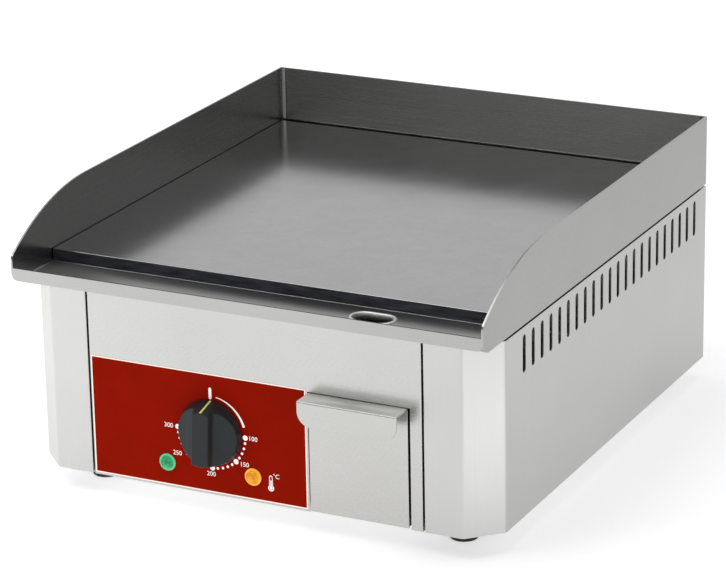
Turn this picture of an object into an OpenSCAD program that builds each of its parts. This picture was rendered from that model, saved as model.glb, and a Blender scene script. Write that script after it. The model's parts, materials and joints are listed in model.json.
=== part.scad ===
// Counter-top electric griddle: folded stainless casing, splash guard with gutter,
// thick steel plate over tubular elements, rotary thermostat and a pull-out drip drawer.
// Modules are drawn in casing coordinates: X from the middle, Y back from the front panel,
// Z up from the lower edge of the casing.

/* [Casing] */
// Width of the casing and of the splash guard
body_w = 400; // [330:5:600]
// Depth of the casing, front panel to rear panel
body_d = 435; // [360:5:560]
// Height of the casing walls, without the feet
body_h = 152.5; // [127:0.5:200]
// Thickness of the casing sheet
sheet = 1.2; // [0.8:0.1:1.5]
// Slanted face at each front corner, measured along the front
corner_cut = 24.5; // [12:0.5:32]
// Width of the flat post on each side of the front panel
post_w = 31.5; // [20:0.5:40]
// Gap between each post and the front panel
panel_gap = 1.5; // [1:0.1:3]
// Depth of the folded edges along the gaps
return_d = 14; // [8:1:20]
// Width of the folded flanges that join the panels
flange_w = 15; // [12:1:20]
// Depth of the flange along the top of the front panel
front_flange = 8; // [6:0.5:9]
// Depth of the flange along the bottom of the front panel
sill_d = 30; // [24:1:40]

/* [Side vents] */
// Width of a vent slot
vent_w = 5.6; // [4:0.1:8]
// Height of a vent slot
vent_h = 30; // [15:1:40]
// Distance between vent slots
vent_pitch = 16.7; // [12:0.1:25]
// Front panel to the first vent slot
vent_front = 58; // [45:1:90]
// Least distance from the last vent slot to the rear
vent_rear = 24; // [20:1:60]
// Top edge of the casing to the top of the slots
vent_drop = 6; // [5:0.5:15]

/* [Splash guard] */
// Shadow gap between the casing and the splash guard
shadow_gap = 1.7; // [1:0.1:4]
// Height of the splash guard above its floor
guard_h = 58.8; // [40:0.1:90]
// Thickness of the splash guard sheet
guard_t = 1.5; // [1:0.1:2]
// How far the sloped lip leans out beyond its foot
lip_lean = 8.9; // [4:0.1:14]
// Height of the sloped lip
lip_h = 12.1; // [8:0.1:20]
// How far the foot of the lip stands in front of the casing
lip_foot = 6.6; // [2:0.1:10]
// Height of the upright strip folded down in front of the lip
fascia_h = 10; // [7:0.5:12]
// Radius of the lower corners of that strip
fascia_r = 6; // [2:0.5:6]
// Distance from the front panel at which the side walls start to fall
crown_start = 100; // [70:1:150]
// Radius of the falling edge of the side walls
crown_r = 200; // [150:5:260]
// Radius of the nose of the side walls
nose_r = 6; // [3:0.5:10]
// Radius of the lower front corner of the side walls
chin_r = 10; // [4:0.5:12]

/* [Gutter drain] */
// Length of the drain hole, across the griddle
drain_l = 34; // [20:1:50]
// Width of the drain hole
drain_w = 19; // [12:1:20]
// Front panel to the middle of the drain hole
drain_y = 21.5; // [20:0.5:26]
// Wall of the drain spout
spout_t = 1; // [0.8:0.1:1.5]
// Rim of the spout, outside its wall
spout_rim = 2; // [1:0.5:3]
// Clearance between the spout and the drawer box
spout_clear = 4; // [2:0.5:10]

/* [Griddle plate] */
// Thickness of the griddle plate
plate_t = 10; // [6:1:16]
// Depth of the gutter, front panel to the front edge of the plate
gutter_d = 42.5; // [40:0.5:60]
// Gap between the plate and the side walls
plate_side_gap = 0.5; // [0.3:0.1:3]
// Gap between the plate and the rear wall
plate_rear_gap = 3.5; // [1:0.5:8]
// Width of the ledge that carries the plate
ledge_w = 20; // [12:1:30]

/* [Heating] */
// Diameter of the tubular elements
element_d = 8; // [6:0.5:10]
// Middle of the griddle to the first run of each element
run_inset = 22; // [16:1:30]
// Edge of the plate to the last run of each element
run_margin = 56; // [40:1:70]
// Free space between the elements and the plate opening
element_clear = 10; // [6:1:16]
// Bend radius where an element turns down
drop_r = 12; // [9:1:16]
// How far an element reaches below the plate
drop_h = 40; // [38:1:44]
// Length of an element terminal
terminal_h = 10; // [6:1:12]
// Radius of an element terminal
terminal_r = 2; // [1.5:0.1:3]
// Diameter of the welded plate studs
stud_d = 6; // [5:0.5:8]
// Length of the welded plate studs
stud_h = 20; // [18:1:22]
// Width of the clamp bars
bar_w = 18; // [14:1:24]
// Thickness of the clamp bars
bar_t = 3; // [2:0.5:4]
// Edge of the plate to the clamp bars
bar_inset = 90; // [70:1:110]
// Depth of the heat shield below the splash guard floor
shield_depth = 36; // [35:1:37]
// Thickness of the heat shield
shield_t = 0.8; // [0.5:0.1:1]
// Thickness of the insulation blanket
blanket_t = 10; // [6:1:12]

/* [Drip drawer] */
// Width of the drawer front
drawer_w = 83; // [65:1:100]
// Height of the top of the drawer front
drawer_top = 97; // [80:1:101]
// Height of the lower edge of the drawer front
drawer_foot = 0.7; // [0.4:0.1:2]
// Width of the strip of front panel to the right of the drawer
drawer_strip = 9.5; // [6:0.5:20]
// Gap to the right of the drawer front
drawer_gap_right = 2; // [1:0.1:3]
// Gap to the left of the drawer front
drawer_gap_left = 0.6; // [0.4:0.1:1]
// Gap above the drawer front
drawer_gap_top = 0.8; // [0.4:0.1:2]
// Depth of the folded handle
handle_d = 19; // [15:0.5:25]
// Height of the handle flap
handle_h = 20; // [14:0.5:26]
// Corner radius of the handle flap
handle_r = 12; // [4:0.5:13]
// Depth of the drawer box
box_d = 230; // [160:5:280]
// Drawer front's edge to the drawer box
box_inset = 3; // [2:0.5:8]
// Drawer front's top to the rim of the drawer box
box_drop = 9; // [6:0.5:20]
// Thickness of the drawer box
box_t = 1; // [0.8:0.1:1.5]
// Clearance between the drawer box and its guides
slide_clear = 0.5; // [0.3:0.1:1]
// Height of the drawer guides
guide_h = 28; // [15:1:40]

/* [Controls] */
// Height of the knob's axis
dial_z = 51.8; // [48:0.1:60]
// Middle of the control plate to the knob's axis
dial_offset = 11.4; // [0:0.1:12]
// Height of the top of the control plate
overlay_top = 99.5; // [90:0.5:110]
// Margin below and to the left of the control plate
overlay_margin = 2; // [1:0.1:4]
// Thickness of the control plate
overlay_t = 0.5; // [0.3:0.1:1]
// Radius of the knob at the panel
knob_r = 27; // [25:0.5:30]
// Radius of the knob's front face
knob_face_r = 22.2; // [18:0.1:24]
// Depth of the knob
knob_d = 18; // [16:0.5:24]
// Gap between the knob and the front panel
knob_gap = 1.5; // [1:0.1:3]
// Width of the knob's grip bar
grip_w = 14.5; // [10:0.5:18]
// Height of the knob's skirt
skirt_h = 5.5; // [5:0.5:8]
// How far the scooped sides rise from the skirt to the grip bar
scoop_rise = 7.2; // [3:0.1:10]
// Turn of the knob at its off mark, clockwise, degrees
knob_rest = 2.6; // [-5:0.1:5]
// Width of the pointer line
pointer_w = 1.6; // [1:0.1:3]
// Diameter of the thermostat shaft
shaft_d = 6; // [5:0.5:8]
// Running clearance around the shaft, on the radius
shaft_clear = 0.05; // [0.02:0.01:0.1]
// Height of the pilot lamps
lamp_z = 21; // [18:0.5:24]
// Middle between the pilot lamps to each of them
lamp_dx = 37.5; // [34:0.5:45]
// Knob's axis to the middle between the pilot lamps
lamp_shift = -1.9; // [-4:0.1:4]
// Diameter of a pilot lamp's lens
lens_d = 15; // [12:0.5:18]
// How far a lens stands out from the control plate
lens_h = 4.6; // [3:0.1:7]

/* [Feet and rear] */
// Height of the casing above the worktop
foot_h = 17.5; // [12:0.5:40]
// Diameter of a foot
foot_d = 26; // [20:0.5:34]
// Side of the casing to the middle of a foot
foot_inset_x = 43; // [40:1:50]
// Front or rear of the casing to the middle of a foot
foot_inset_y = 42; // [38:1:60]
// Side of the casing to the cable gland
gland_inset = 70; // [50:1:90]
// Height of the cable gland
gland_z = 35; // [30:1:50]
// Radius of the cable that the gland takes
cable_r = 5; // [4:0.5:5.5]
// Distance from the cable gland to the bonding stud
bond_dx = 35; // [28:1:45]

/* [Hidden] */
$fn = 48;

// Overlap of cutting shapes past the faces that they cut
eps = 1;

// Plan of the front
half_w = body_w / 2;
post_x = half_w - corner_cut - post_w;
panel_half = post_x - panel_gap;
drawer_x2 = panel_half - drawer_strip - drawer_gap_right;
drawer_x1 = drawer_x2 - drawer_w;
overlay_x1 = -panel_half + overlay_margin - 0.5;
overlay_x2 = drawer_x1 - overlay_margin;
dial_x = (overlay_x1 + overlay_x2) / 2 + dial_offset;
lamp_x = dial_x + lamp_shift;
drain_x = (drawer_x1 + drawer_x2) / 2 + 3.5;

// Heights
base_top = 2 * sheet;
pan_z = body_h + shadow_gap;
plate_z = pan_z + guard_t;
guard_top = pan_z + guard_h;
lip_z = pan_z + lip_h;
lip_y = -lip_foot - lip_lean;
lip_top = lip_z + guard_t * unit([lip_h, lip_lean])[1];
box_z = base_top + sheet;
box_top = drawer_top - box_drop;
spout_z = box_top + spout_clear;
shield_z = pan_z - shield_depth;
bar_z = plate_z - element_d - bar_t;

// Plan of the plate and of what hangs under it
plate_half = half_w - guard_t - plate_side_gap;
plate_y2 = body_d - guard_t - plate_rear_gap;
opening_half = plate_half - ledge_w;
opening_y1 = gutter_d + ledge_w;
opening_y2 = plate_y2 - ledge_w;
run_pitch = (plate_half - run_margin - run_inset) / 3;
drop_y = opening_y1 + element_clear;
rear_bend_y = opening_y2 - element_clear - run_pitch / 2;
front_bend_y = drop_y + run_pitch / 2;
stud_x = run_inset + 2.5 * run_pitch;
bar_y = [gutter_d + bar_inset, plate_y2 - bar_inset];
shield_half = opening_half + 3;
shield_y1 = opening_y1 - 6;
shield_y2 = opening_y2 + 4;
shield_flange = 3;
bulb_x = run_inset + 1.5 * run_pitch;
bulb_y = bar_y[0] + 32;
bulb_l = 100;
bulb_r = 3;

// Fasteners
screw_r = 2;
screw_hole_r = 2.15;
screw_head_r = 3.8;
screw_head_h = 2.2;
foot_screw_r = 2.5;
foot_recess = 7;
foot_top = foot_h + sheet;
thread_clear = 0.05;
rear_screw_x = half_w - sheet - 7;
rear_screw_z = [20, body_h / 2, body_h - 20];
base_screw_x = half_w - flange_w / 2;
base_screw_y = [75, body_d / 2, body_d - 60];
sill_screw_x = [-panel_half + 20, overlay_x2 - 12];
sill_screw_y = 22;

// Pilot lamps
lamp_stem_r = 4.5;
lamp_hole_r = lamp_stem_r + 0.2;

// Gland and rear studs
bond_r = 3;
gland_x = -half_w + gland_inset;
gland_r = 10;
gland_hex_h = 8;
gland_neck_r = 9;
gland_neck_h = 6;
gland_out = 20;
bond_x = gland_x + bond_dx;
bond_hex_h = 5;
bond_out = 17;

// Wiring: leads, terminal block and capillary
lead_r = 1.3;
block_x = gland_x;
block_y = body_d - 75;
block_size = [34, 22, 18];
capillary_r = 0.9;
capillary_hole_r = 5;

// Knob: the skirt's taper gives the radius at any depth
bush_r = 4;
shaft_in = 20;
shaft_out = 15;
flat_depth = 0.8;
screw_dz = 14;
hollow_h = 2.7;
pointer_d = 0.7;
knob_slope = atan((knob_r - knob_face_r) / knob_d);

// Place of the casing: the whole object's middle is at X = Y = 0, its feet at Z = 0
nose_reach = lip_foot + lip_lean + nose_r / 2;
front_reach = max(handle_d, knob_gap + knob_d, nose_reach);
y_face = front_reach - (front_reach + body_d + gland_out) / 2;

module casing() translate([0, y_face, foot_h]) children();

// Flat outline in XZ, given a thickness from y = 0 backwards
module sheet_xz(t) translate([0, t, 0]) rotate([90, 0, 0]) linear_extrude(t) children();

// Flat outline in YZ, given a thickness from x = 0 to the right
module sheet_yz(t) rotate([90, 0, 90]) linear_extrude(t) children();

module rod_y(r, h) rotate([-90, 0, 0]) cylinder(r = r, h = h);

module hex_z(across, h) cylinder(r = across / sqrt(3), h = h, $fn = 6);

module hex_y(across, h) rotate([-90, 0, 0]) hex_z(across, h);

// Flap with two rounded lower corners
module flap_outline(w, h, r) {
  translate([r, 0]) square([w - 2 * r, h]);
  translate([0, r]) square([w, h - r]);
  for (x = [0, w - r]) intersection() {
    translate([x, 0]) square(r);
    translate([x == 0 ? r : x, r]) circle(r = r);
  }
}

// Long hole with round ends, its length along the second axis
module long_hole(w, h) {
  square([w, h - w], center = true);
  for (s = [-1, 1]) translate([0, s * (h - w) / 2]) circle(d = w);
}

function unit(v) = v / norm(v);

// ---- Casing ----

module side_wall_plan() {
  k = sheet * tan(22.5);
  polygon([
    [post_x, 0], [half_w - corner_cut, 0], [half_w, corner_cut], [half_w, body_d],
    [half_w - sheet, body_d], [half_w - sheet, body_d - sheet],
    [half_w - flange_w, body_d - sheet], [half_w - flange_w, body_d - 2 * sheet],
    [half_w - sheet, body_d - 2 * sheet], [half_w - sheet, corner_cut + k],
    [half_w - corner_cut - k, sheet], [post_x + sheet, sheet],
    [post_x + sheet, return_d], [post_x, return_d]
  ]);
}

module side_flange(z) {
  y1 = corner_cut + 4;
  translate([half_w - flange_w, y1, z]) cube([flange_w, body_d - 2 * sheet - 3 - y1, sheet]);
}

module side_vents() {
  count = floor((body_d - vent_front - vent_rear) / vent_pitch) + 1;
  for (i = [0 : count - 1])
    translate([half_w - sheet - eps, vent_front + i * vent_pitch, body_h - vent_drop - vent_h / 2])
      sheet_yz(sheet + 2 * eps) long_hole(vent_w, vent_h);
}

module side_panel() {
  difference() {
    union() {
      linear_extrude(body_h) side_wall_plan();
      side_flange(0);
      side_flange(body_h - sheet);
    }
    side_vents();
    for (y = base_screw_y)
      translate([base_screw_x, y, -eps]) cylinder(r = screw_hole_r, h = sheet + 2 * eps);
    for (z = rear_screw_z)
      translate([rear_screw_x, body_d - 2 * sheet - eps, z]) rod_y(screw_hole_r, sheet + 2 * eps);
  }
}

module right_side_panel() color("gainsboro") casing() side_panel();

module left_side_panel() color("gainsboro") casing() mirror([1, 0, 0]) side_panel();

module front_panel() color("gainsboro") casing() {
  bay_x1 = drawer_x1 - drawer_gap_left;
  bay_x2 = drawer_x2 + drawer_gap_right;
  difference() {
    union() {
      sheet_xz(sheet) translate([-panel_half, 0]) square([2 * panel_half, body_h]);
      for (x = [-panel_half, panel_half - sheet])
        translate([x, 0, 0]) cube([sheet, return_d, body_h]);
      translate([-panel_half, 0, body_h - sheet]) cube([2 * panel_half, front_flange, sheet]);
      translate([-panel_half, 0, 0]) cube([bay_x1 - 4 + panel_half, sill_d, sheet]);
    }
    translate([bay_x1, -eps, -eps])
      cube([bay_x2 - bay_x1, sheet + 2 * eps, drawer_top + drawer_gap_top + eps]);
    translate([dial_x, -eps, dial_z]) rod_y(bush_r + 0.1, sheet + 2 * eps);
    for (s = [-1, 1]) {
      translate([dial_x, -eps, dial_z + s * screw_dz]) rod_y(screw_hole_r, sheet + 2 * eps);
      translate([lamp_x + s * lamp_dx, -eps, lamp_z]) rod_y(lamp_hole_r, sheet + 2 * eps);
    }
    for (x = sill_screw_x)
      translate([x, sill_screw_y, -eps]) cylinder(r = screw_hole_r, h = sheet + 2 * eps);
  }
}

module rear_panel() color("gainsboro") casing() {
  x = half_w - sheet - 0.3;
  vents = floor((2 * half_w - 180) / vent_pitch);
  difference() {
    translate([-x, body_d - sheet, 0]) cube([2 * x, sheet, body_h]);
    translate([gland_x, body_d - sheet - eps, gland_z]) rod_y(gland_r + 0.1, sheet + 2 * eps);
    translate([bond_x, body_d - sheet - eps, gland_z]) rod_y(bond_r + 0.2, sheet + 2 * eps);
    for (s = [-1, 1], z = rear_screw_z)
      translate([s * rear_screw_x, body_d - sheet - eps, z]) rod_y(screw_hole_r, sheet + 2 * eps);
    for (i = [0 : vents])
      translate([(i - vents / 2) * vent_pitch, body_d - sheet - eps, body_h - 22 - vent_h / 2])
        sheet_xz(sheet + 2 * eps) long_hole(vent_w, vent_h);
  }
}

// Strip along the top of the rear panel, under the support frame
module rear_rail() color("gainsboro") casing() {
  x = half_w - flange_w - 2;
  translate([-x, body_d - flange_w, body_h - sheet]) cube([2 * x, flange_w - sheet, sheet]);
}

module base_plate() color("silver") casing() {
  x = half_w - sheet - 0.3;
  y1 = return_d + 2;
  y2 = body_d - 2 * sheet - 0.3;
  cut = corner_cut + sheet;
  difference() {
    translate([0, 0, sheet]) linear_extrude(sheet)
      polygon([
        [-x + cut - y1, y1], [x - cut + y1, y1], [x, cut + 1], [x, y2], [-x, y2], [-x, cut + 1]
      ]);
    for (s = [-1, 1], y = base_screw_y)
      translate([s * base_screw_x, y, 0]) cylinder(r = screw_hole_r, h = base_top + eps);
    for (px = sill_screw_x)
      translate([px, sill_screw_y, 0]) cylinder(r = screw_hole_r, h = base_top + eps);
    for (s = [-1, 1], y = [foot_inset_y, body_d - foot_inset_y])
      translate([s * (half_w - foot_inset_x), y, 0])
        cylinder(r = foot_screw_r + 0.2, h = base_top + eps);
  }
}

// Flat strip that carries the splash guard and sets it off from the casing
module support_frame() color("dimgray") casing() {
  inset = 4;
  x = half_w - inset;
  inner_x = half_w - flange_w;
  difference() {
    translate([0, 0, body_h]) linear_extrude(shadow_gap)
      polygon([
        [-x + corner_cut, inset - 1], [x - corner_cut, inset - 1], [x, corner_cut + inset],
        [x, body_d - inset], [-x, body_d - inset], [-x, corner_cut + inset]
      ]);
    translate([0, 0, body_h - eps]) linear_extrude(shadow_gap + 2 * eps)
      polygon([
        [-x + corner_cut + 6, front_flange], [x - corner_cut - 6, front_flange],
        [inner_x, corner_cut + inset + 6], [inner_x, body_d - flange_w],
        [-inner_x, body_d - flange_w], [-inner_x, corner_cut + inset + 6]
      ]);
  }
}

module base_screws() color("silver") casing() {
  spots = concat(
    [for (s = [-1, 1], y = base_screw_y) [s * base_screw_x, y]],
    [for (x = sill_screw_x) [x, sill_screw_y]]
  );
  for (p = spots) translate([p[0], p[1], -screw_head_h]) {
    cylinder(r = screw_head_r, h = screw_head_h);
    cylinder(r = screw_r, h = screw_head_h + base_top + 4);
  }
}

module rear_panel_screws() color("silver") casing()
  for (s = [-1, 1], z = rear_screw_z) translate([s * rear_screw_x, body_d, z]) {
    rod_y(screw_head_r, screw_head_h);
    translate([0, -8, 0]) rod_y(screw_r, 8 + screw_head_h);
  }

// ---- Splash guard, gutter and plate ----

// Outline of a side wall: crown arc, nose arc, upright front edge and chin arc
module guard_side() {
  crown_c = [crown_start, guard_top - crown_r];
  nose_y = lip_y + nose_r;
  nose_c = [nose_y, crown_c[1] + sqrt(pow(crown_r - nose_r, 2) - pow(crown_c[0] - nose_y, 2))];
  chin_c = [lip_y + chin_r, pan_z + chin_r];
  crown_a = atan2(crown_c[0] - nose_c[0], nose_c[1] - crown_c[1]);
  crown_steps = 14;
  nose_steps = 8;
  crown = [
    for (i = [0 : crown_steps - 1])
      crown_c + crown_r * [-sin(crown_a * i / crown_steps), cos(crown_a * i / crown_steps)]
  ];
  nose = [
    for (i = [0 : nose_steps])
      let (a = crown_a + (90 - crown_a) * i / nose_steps)
      nose_c + nose_r * [-sin(a), cos(a)]
  ];
  chin = [
    for (i = [0 : nose_steps])
      let (a = 90 + 90 * i / nose_steps)
      chin_c + chin_r * [-sin(a), cos(a)]
  ];
  polygon(concat([[body_d, pan_z], [body_d, guard_top]], crown, nose, chin));
}

module lip_profile() {
  inward = guard_t * unit([lip_h, lip_lean]);
  foot = [-lip_foot, pan_z];
  top = [lip_y, lip_z];
  polygon([foot, top, top + inward, foot + inward, foot + [guard_t + 1, 0]]);
}

module drain_outline(grow) rotate(90) long_hole(drain_w + 2 * grow, drain_l + 2 * grow);

module splash_pan() color("lightgray") casing() {
  difference() {
    translate([-half_w, -lip_foot, pan_z]) cube([body_w, body_d + lip_foot, guard_t]);
    translate([-opening_half, opening_y1, pan_z - eps])
      cube([2 * opening_half, opening_y2 - opening_y1, guard_t + 2 * eps]);
    translate([drain_x, drain_y, pan_z - eps]) linear_extrude(guard_t + 2 * eps)
      drain_outline(0);
  }
  translate([-half_w, 0, 0]) sheet_yz(body_w) lip_profile();
  translate([-half_w, lip_y, lip_top - fascia_h])
    sheet_xz(guard_t) flap_outline(body_w, fascia_h, fascia_r);
  for (x = [-half_w, half_w - guard_t]) translate([x, 0, 0]) sheet_yz(guard_t) guard_side();
  translate([-half_w, body_d - guard_t, pan_z]) cube([body_w, guard_t, guard_h]);
}

module drain_spout() color("lightgray") casing()
  translate([drain_x, drain_y, 0]) difference() {
    union() {
      translate([0, 0, spout_z]) linear_extrude(pan_z - spout_z) drain_outline(spout_t);
      translate([0, 0, pan_z - sheet]) linear_extrude(sheet)
        drain_outline(spout_t + spout_rim);
    }
    translate([0, 0, spout_z - eps]) linear_extrude(pan_z - spout_z + 2 * eps)
      drain_outline(0);
  }

module griddle_plate() color("darkgray") casing()
  translate([-plate_half, gutter_d, plate_z])
    cube([2 * plate_half, plate_y2 - gutter_d, plate_t]);

// ---- Heating ----

module plate_studs() color("silver") casing()
  for (x = [-stud_x, 0, stud_x], y = bar_y)
    translate([x, y, plate_z - stud_h]) cylinder(d = stud_d, h = stud_h);

// One tubular element of four runs, on the right-hand side
module heater() {
  r = element_d / 2;
  z = plate_z - r;
  runs = [for (i = [0 : 3]) run_inset + i * run_pitch];
  for (i = [0, 3]) {
    translate([runs[i], drop_y + drop_r, z]) rod_y(r, rear_bend_y - drop_y - drop_r);
    translate([runs[i], drop_y + drop_r, z - drop_r]) rotate([0, -90, 0]) rotate([0, 0, -90])
      rotate_extrude(angle = 90) translate([drop_r, 0]) circle(r = r);
    translate([runs[i], drop_y, plate_z - drop_h])
      cylinder(r = r, h = drop_h - r - drop_r);
  }
  for (i = [1, 2])
    translate([runs[i], front_bend_y, z]) rod_y(r, rear_bend_y - front_bend_y);
  for (i = [0, 2]) translate([runs[i] + run_pitch / 2, rear_bend_y, z])
    rotate_extrude(angle = 180) translate([run_pitch / 2, 0]) circle(r = r);
  translate([runs[1] + run_pitch / 2, front_bend_y, z]) rotate([0, 0, 180])
    rotate_extrude(angle = 180) translate([run_pitch / 2, 0]) circle(r = r);
}

module right_heating_element() color("slategray") casing() heater();

module left_heating_element() color("slategray") casing() mirror([1, 0, 0]) heater();

// Places of the element terminals, from left to right
terminal_x = [
  for (i = [-3, 0]) -run_inset + i * run_pitch,
  for (i = [0, 3]) run_inset + i * run_pitch
];

module element_terminals() color("goldenrod") casing()
  for (x = terminal_x) translate([x, drop_y, plate_z - drop_h]) {
    translate([0, 0, -terminal_h]) cylinder(r = terminal_r, h = terminal_h);
    translate([0, 0, -5]) hex_z(7, 3);
  }

module clamp_bar(y) {
  half = stud_x + 34;
  difference() {
    translate([-half, y - bar_w / 2, bar_z]) cube([2 * half, bar_w, bar_t]);
    for (x = [-stud_x, 0, stud_x])
      translate([x, y, bar_z - eps]) cylinder(d = stud_d + 0.6, h = bar_t + 2 * eps);
  }
}

module front_clamp_bar() color("silver") casing() clamp_bar(bar_y[0]);

module rear_clamp_bar() color("silver") casing() clamp_bar(bar_y[1]);

module clamp_nuts() color("silver") casing() {
  h = 5;
  for (x = [-stud_x, 0, stud_x], y = bar_y) translate([x, y, bar_z - h]) difference() {
    hex_z(stud_d + 4, h);
    translate([0, 0, -eps]) cylinder(r = stud_d / 2 + thread_clear, h = h + 2 * eps);
  }
}

module heat_shield() color("lightsteelblue") casing() {
  outer = [2 * shield_half, shield_y2 - shield_y1];
  difference() {
    union() {
      translate([-shield_half, shield_y1, shield_z]) cube([outer[0], outer[1], shield_depth]);
      translate([-shield_half - shield_flange, shield_y1 - shield_flange, pan_z - shield_t])
        cube([outer[0] + 2 * shield_flange, outer[1] + 2 * shield_flange, shield_t]);
    }
    translate([-shield_half + shield_t, shield_y1 + shield_t, shield_z + shield_t])
      cube([outer[0] - 2 * shield_t, outer[1] - 2 * shield_t, shield_depth]);
    for (x = terminal_x)
      translate([x, drop_y, shield_z - eps]) cylinder(r = element_d / 2 + 1.5, h = 2 * eps + 1);
    translate([-bulb_x, drop_y - 5, shield_z - eps]) cylinder(r = capillary_hole_r, h = 2 * eps + 1);
  }
}

module insulation_blanket() color("khaki") casing() {
  gap = 1.5;
  y1 = drop_y + element_d / 2 + 4;
  translate([-shield_half + shield_t + gap, y1, shield_z + shield_t])
    cube([2 * (shield_half - shield_t - gap), shield_y2 - shield_t - gap - y1, blanket_t]);
}

module sensor_bulb() color("peru") casing()
  translate([-bulb_x, bulb_y, plate_z - bulb_r]) rod_y(bulb_r, bulb_l);

module bulb_clips() color("silver") casing()
  for (y = [bulb_y + 15, bulb_y + bulb_l - 25])
    translate([-bulb_x, y, plate_z]) difference() {
      translate([-8, 0, -2 * bulb_r - 1.5]) cube([16, 10, 2 * bulb_r + 1.5]);
      translate([0, -eps, -bulb_r]) rod_y(bulb_r + thread_clear, 10 + 2 * eps);
    }

module safety_cutout() color("ivory") casing()
  translate([bulb_x, bulb_y + 30, plate_z]) {
    translate([0, 0, -7]) cylinder(r = 8, h = 7);
    for (s = [-1, 1]) translate([s * 4 - 0.4, -3, -13]) cube([0.8, 6, 6]);
  }

// ---- Controls ----

module thermostat_body() color("dimgray") casing() translate([dial_x, 0, dial_z]) {
  w = 42;
  d = 34;
  h = 38;
  difference() {
    union() {
      translate([-w / 2, sheet, -h / 2]) cube([w, d, h]);
      translate([0, -1, 0]) rod_y(bush_r, sheet + 2);
    }
    translate([0, -1 - eps, 0]) rod_y(shaft_d / 2 + shaft_clear, shaft_in + 1 + eps);
    for (s = [-1, 1])
      translate([0, sheet - eps, s * screw_dz]) rod_y(screw_r + thread_clear, 8 + eps);
  }
  for (x = [-12, 4], z = [-10, 8])
    translate([x, sheet + d, z]) cube([6.3, 8, 0.8]);
}

module thermostat_screws() color("silver") casing()
  for (s = [-1, 1]) translate([dial_x, 0, dial_z + s * screw_dz]) {
    translate([0, -2, 0]) rod_y(3.5, 2);
    translate([0, -1, 0]) rod_y(screw_r, 8 + sheet);
  }

module shaft_outline(grow) difference() {
  circle(r = shaft_d / 2 + grow);
  translate([-shaft_d, shaft_d / 2 - flat_depth + grow]) square(2 * shaft_d);
}

// Place of the knob's axis, turned to the off mark
module at_dial() translate([dial_x, 0, dial_z]) rotate([0, knob_rest, 0]) children();

// Round inside the bush, with one flat inside the knob
module thermostat_shaft() color("silver") casing() at_dial() {
  round_y = -knob_gap - hollow_h;
  translate([0, round_y, 0]) rod_y(shaft_d / 2, shaft_in - 0.5 - round_y);
  translate([0, -shaft_out, 0]) sheet_xz(shaft_out + round_y) shaft_outline(0);
}

module control_overlay() color("firebrick") casing() {
  w = overlay_x2 - overlay_x1;
  difference() {
    translate([0, -overlay_t, 0]) sheet_xz(overlay_t)
      translate([overlay_x1, overlay_margin]) square([w, overlay_top - overlay_margin]);
    translate([dial_x, -overlay_t - eps, dial_z]) rod_y(bush_r + 2, overlay_t + 2 * eps);
    for (s = [-1, 1]) {
      translate([dial_x, -overlay_t - eps, dial_z + s * screw_dz])
        rod_y(4.2, overlay_t + 2 * eps);
      translate([lamp_x + s * lamp_dx, -overlay_t - eps, lamp_z])
        rod_y(lamp_hole_r, overlay_t + 2 * eps);
    }
  }
}

// Inlay along the top of the grip bar, from the skirt to the front face
module pointer_strip(proud) {
  l = knob_d / cos(knob_slope);
  translate([0, -knob_gap, knob_r]) rotate([knob_slope, 0, 0])
    translate([-pointer_w / 2, -l + 0.6, -pointer_d])
      cube([pointer_w, l - 1.6, pointer_d + proud]);
}

module knob_shape() rotate([90, 0, 0]) {
  difference() {
    translate([0, 0, knob_gap]) cylinder(r1 = knob_r, r2 = knob_face_r, h = knob_d, $fn = 72);
    for (s = [-1, 1]) rotate([90, 0, 0]) translate([0, 0, -1.5 * knob_r])
      linear_extrude(3 * knob_r) polygon([
        [s * grip_w / 2, knob_gap + knob_d + 1],
        [s * grip_w / 2, knob_gap + skirt_h + scoop_rise],
        [s * knob_r, knob_gap + skirt_h],
        [s * 2 * knob_r, knob_gap + skirt_h],
        [s * 2 * knob_r, knob_gap + knob_d + 1]
      ]);
    translate([0, 0, knob_gap - eps]) cylinder(r = knob_r - 4.5, h = hollow_h + eps);
  }
}

module control_knob() color([0.13, 0.14, 0.15]) casing() at_dial()
  difference() {
    knob_shape();
    translate([0, -shaft_out, 0]) sheet_xz(shaft_out) shaft_outline(0);
    pointer_strip(eps);
  }

module knob_pointer() color("gold") casing() at_dial()
  pointer_strip(0.05);

module pilot_lens(x) {
  flange = 1.6;
  dome_r = lens_d / 2 - 0.9;
  rise = lens_h - flange;
  ball_r = (dome_r * dome_r + rise * rise) / (2 * rise);
  translate([x, -overlay_t, lamp_z]) {
    translate([0, -flange, 0]) rod_y(lens_d / 2, flange);
    intersection() {
      translate([0, -flange - rise + ball_r, 0]) sphere(r = ball_r, $fn = 72);
      translate([0, -flange - rise - eps, 0]) rod_y(dome_r, rise + eps);
    }
    rod_y(lamp_stem_r, overlay_t + sheet + 6);
  }
}

module green_lens() color("mediumseagreen") casing() pilot_lens(lamp_x - lamp_dx);

module amber_lens() color("orange") casing() pilot_lens(lamp_x + lamp_dx);

module lamp_body(x) {
  h = 24;
  translate([x, sheet, lamp_z]) {
    difference() {
      rod_y(7, h);
      translate([0, -eps, 0]) rod_y(lamp_stem_r + 0.1, 8 + eps);
    }
    for (s = [-1, 1]) translate([s * 3 - 0.4, h, -3]) cube([0.8, 8, 6]);
  }
}

module green_lamp_body() color("ivory") casing() lamp_body(lamp_x - lamp_dx);

module amber_lamp_body() color("ivory") casing() lamp_body(lamp_x + lamp_dx);

// ---- Drip drawer ----

module drawer_front() color("gainsboro") casing() {
  translate([drawer_x1, 0, drawer_foot]) cube([drawer_w, sheet, drawer_top - drawer_foot]);
  translate([drawer_x1, -handle_d, drawer_top - sheet])
    cube([drawer_w, handle_d + sheet, sheet]);
  translate([drawer_x1, -handle_d, drawer_top - handle_h])
    sheet_xz(sheet) flap_outline(drawer_w, handle_h, handle_r);
}

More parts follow.
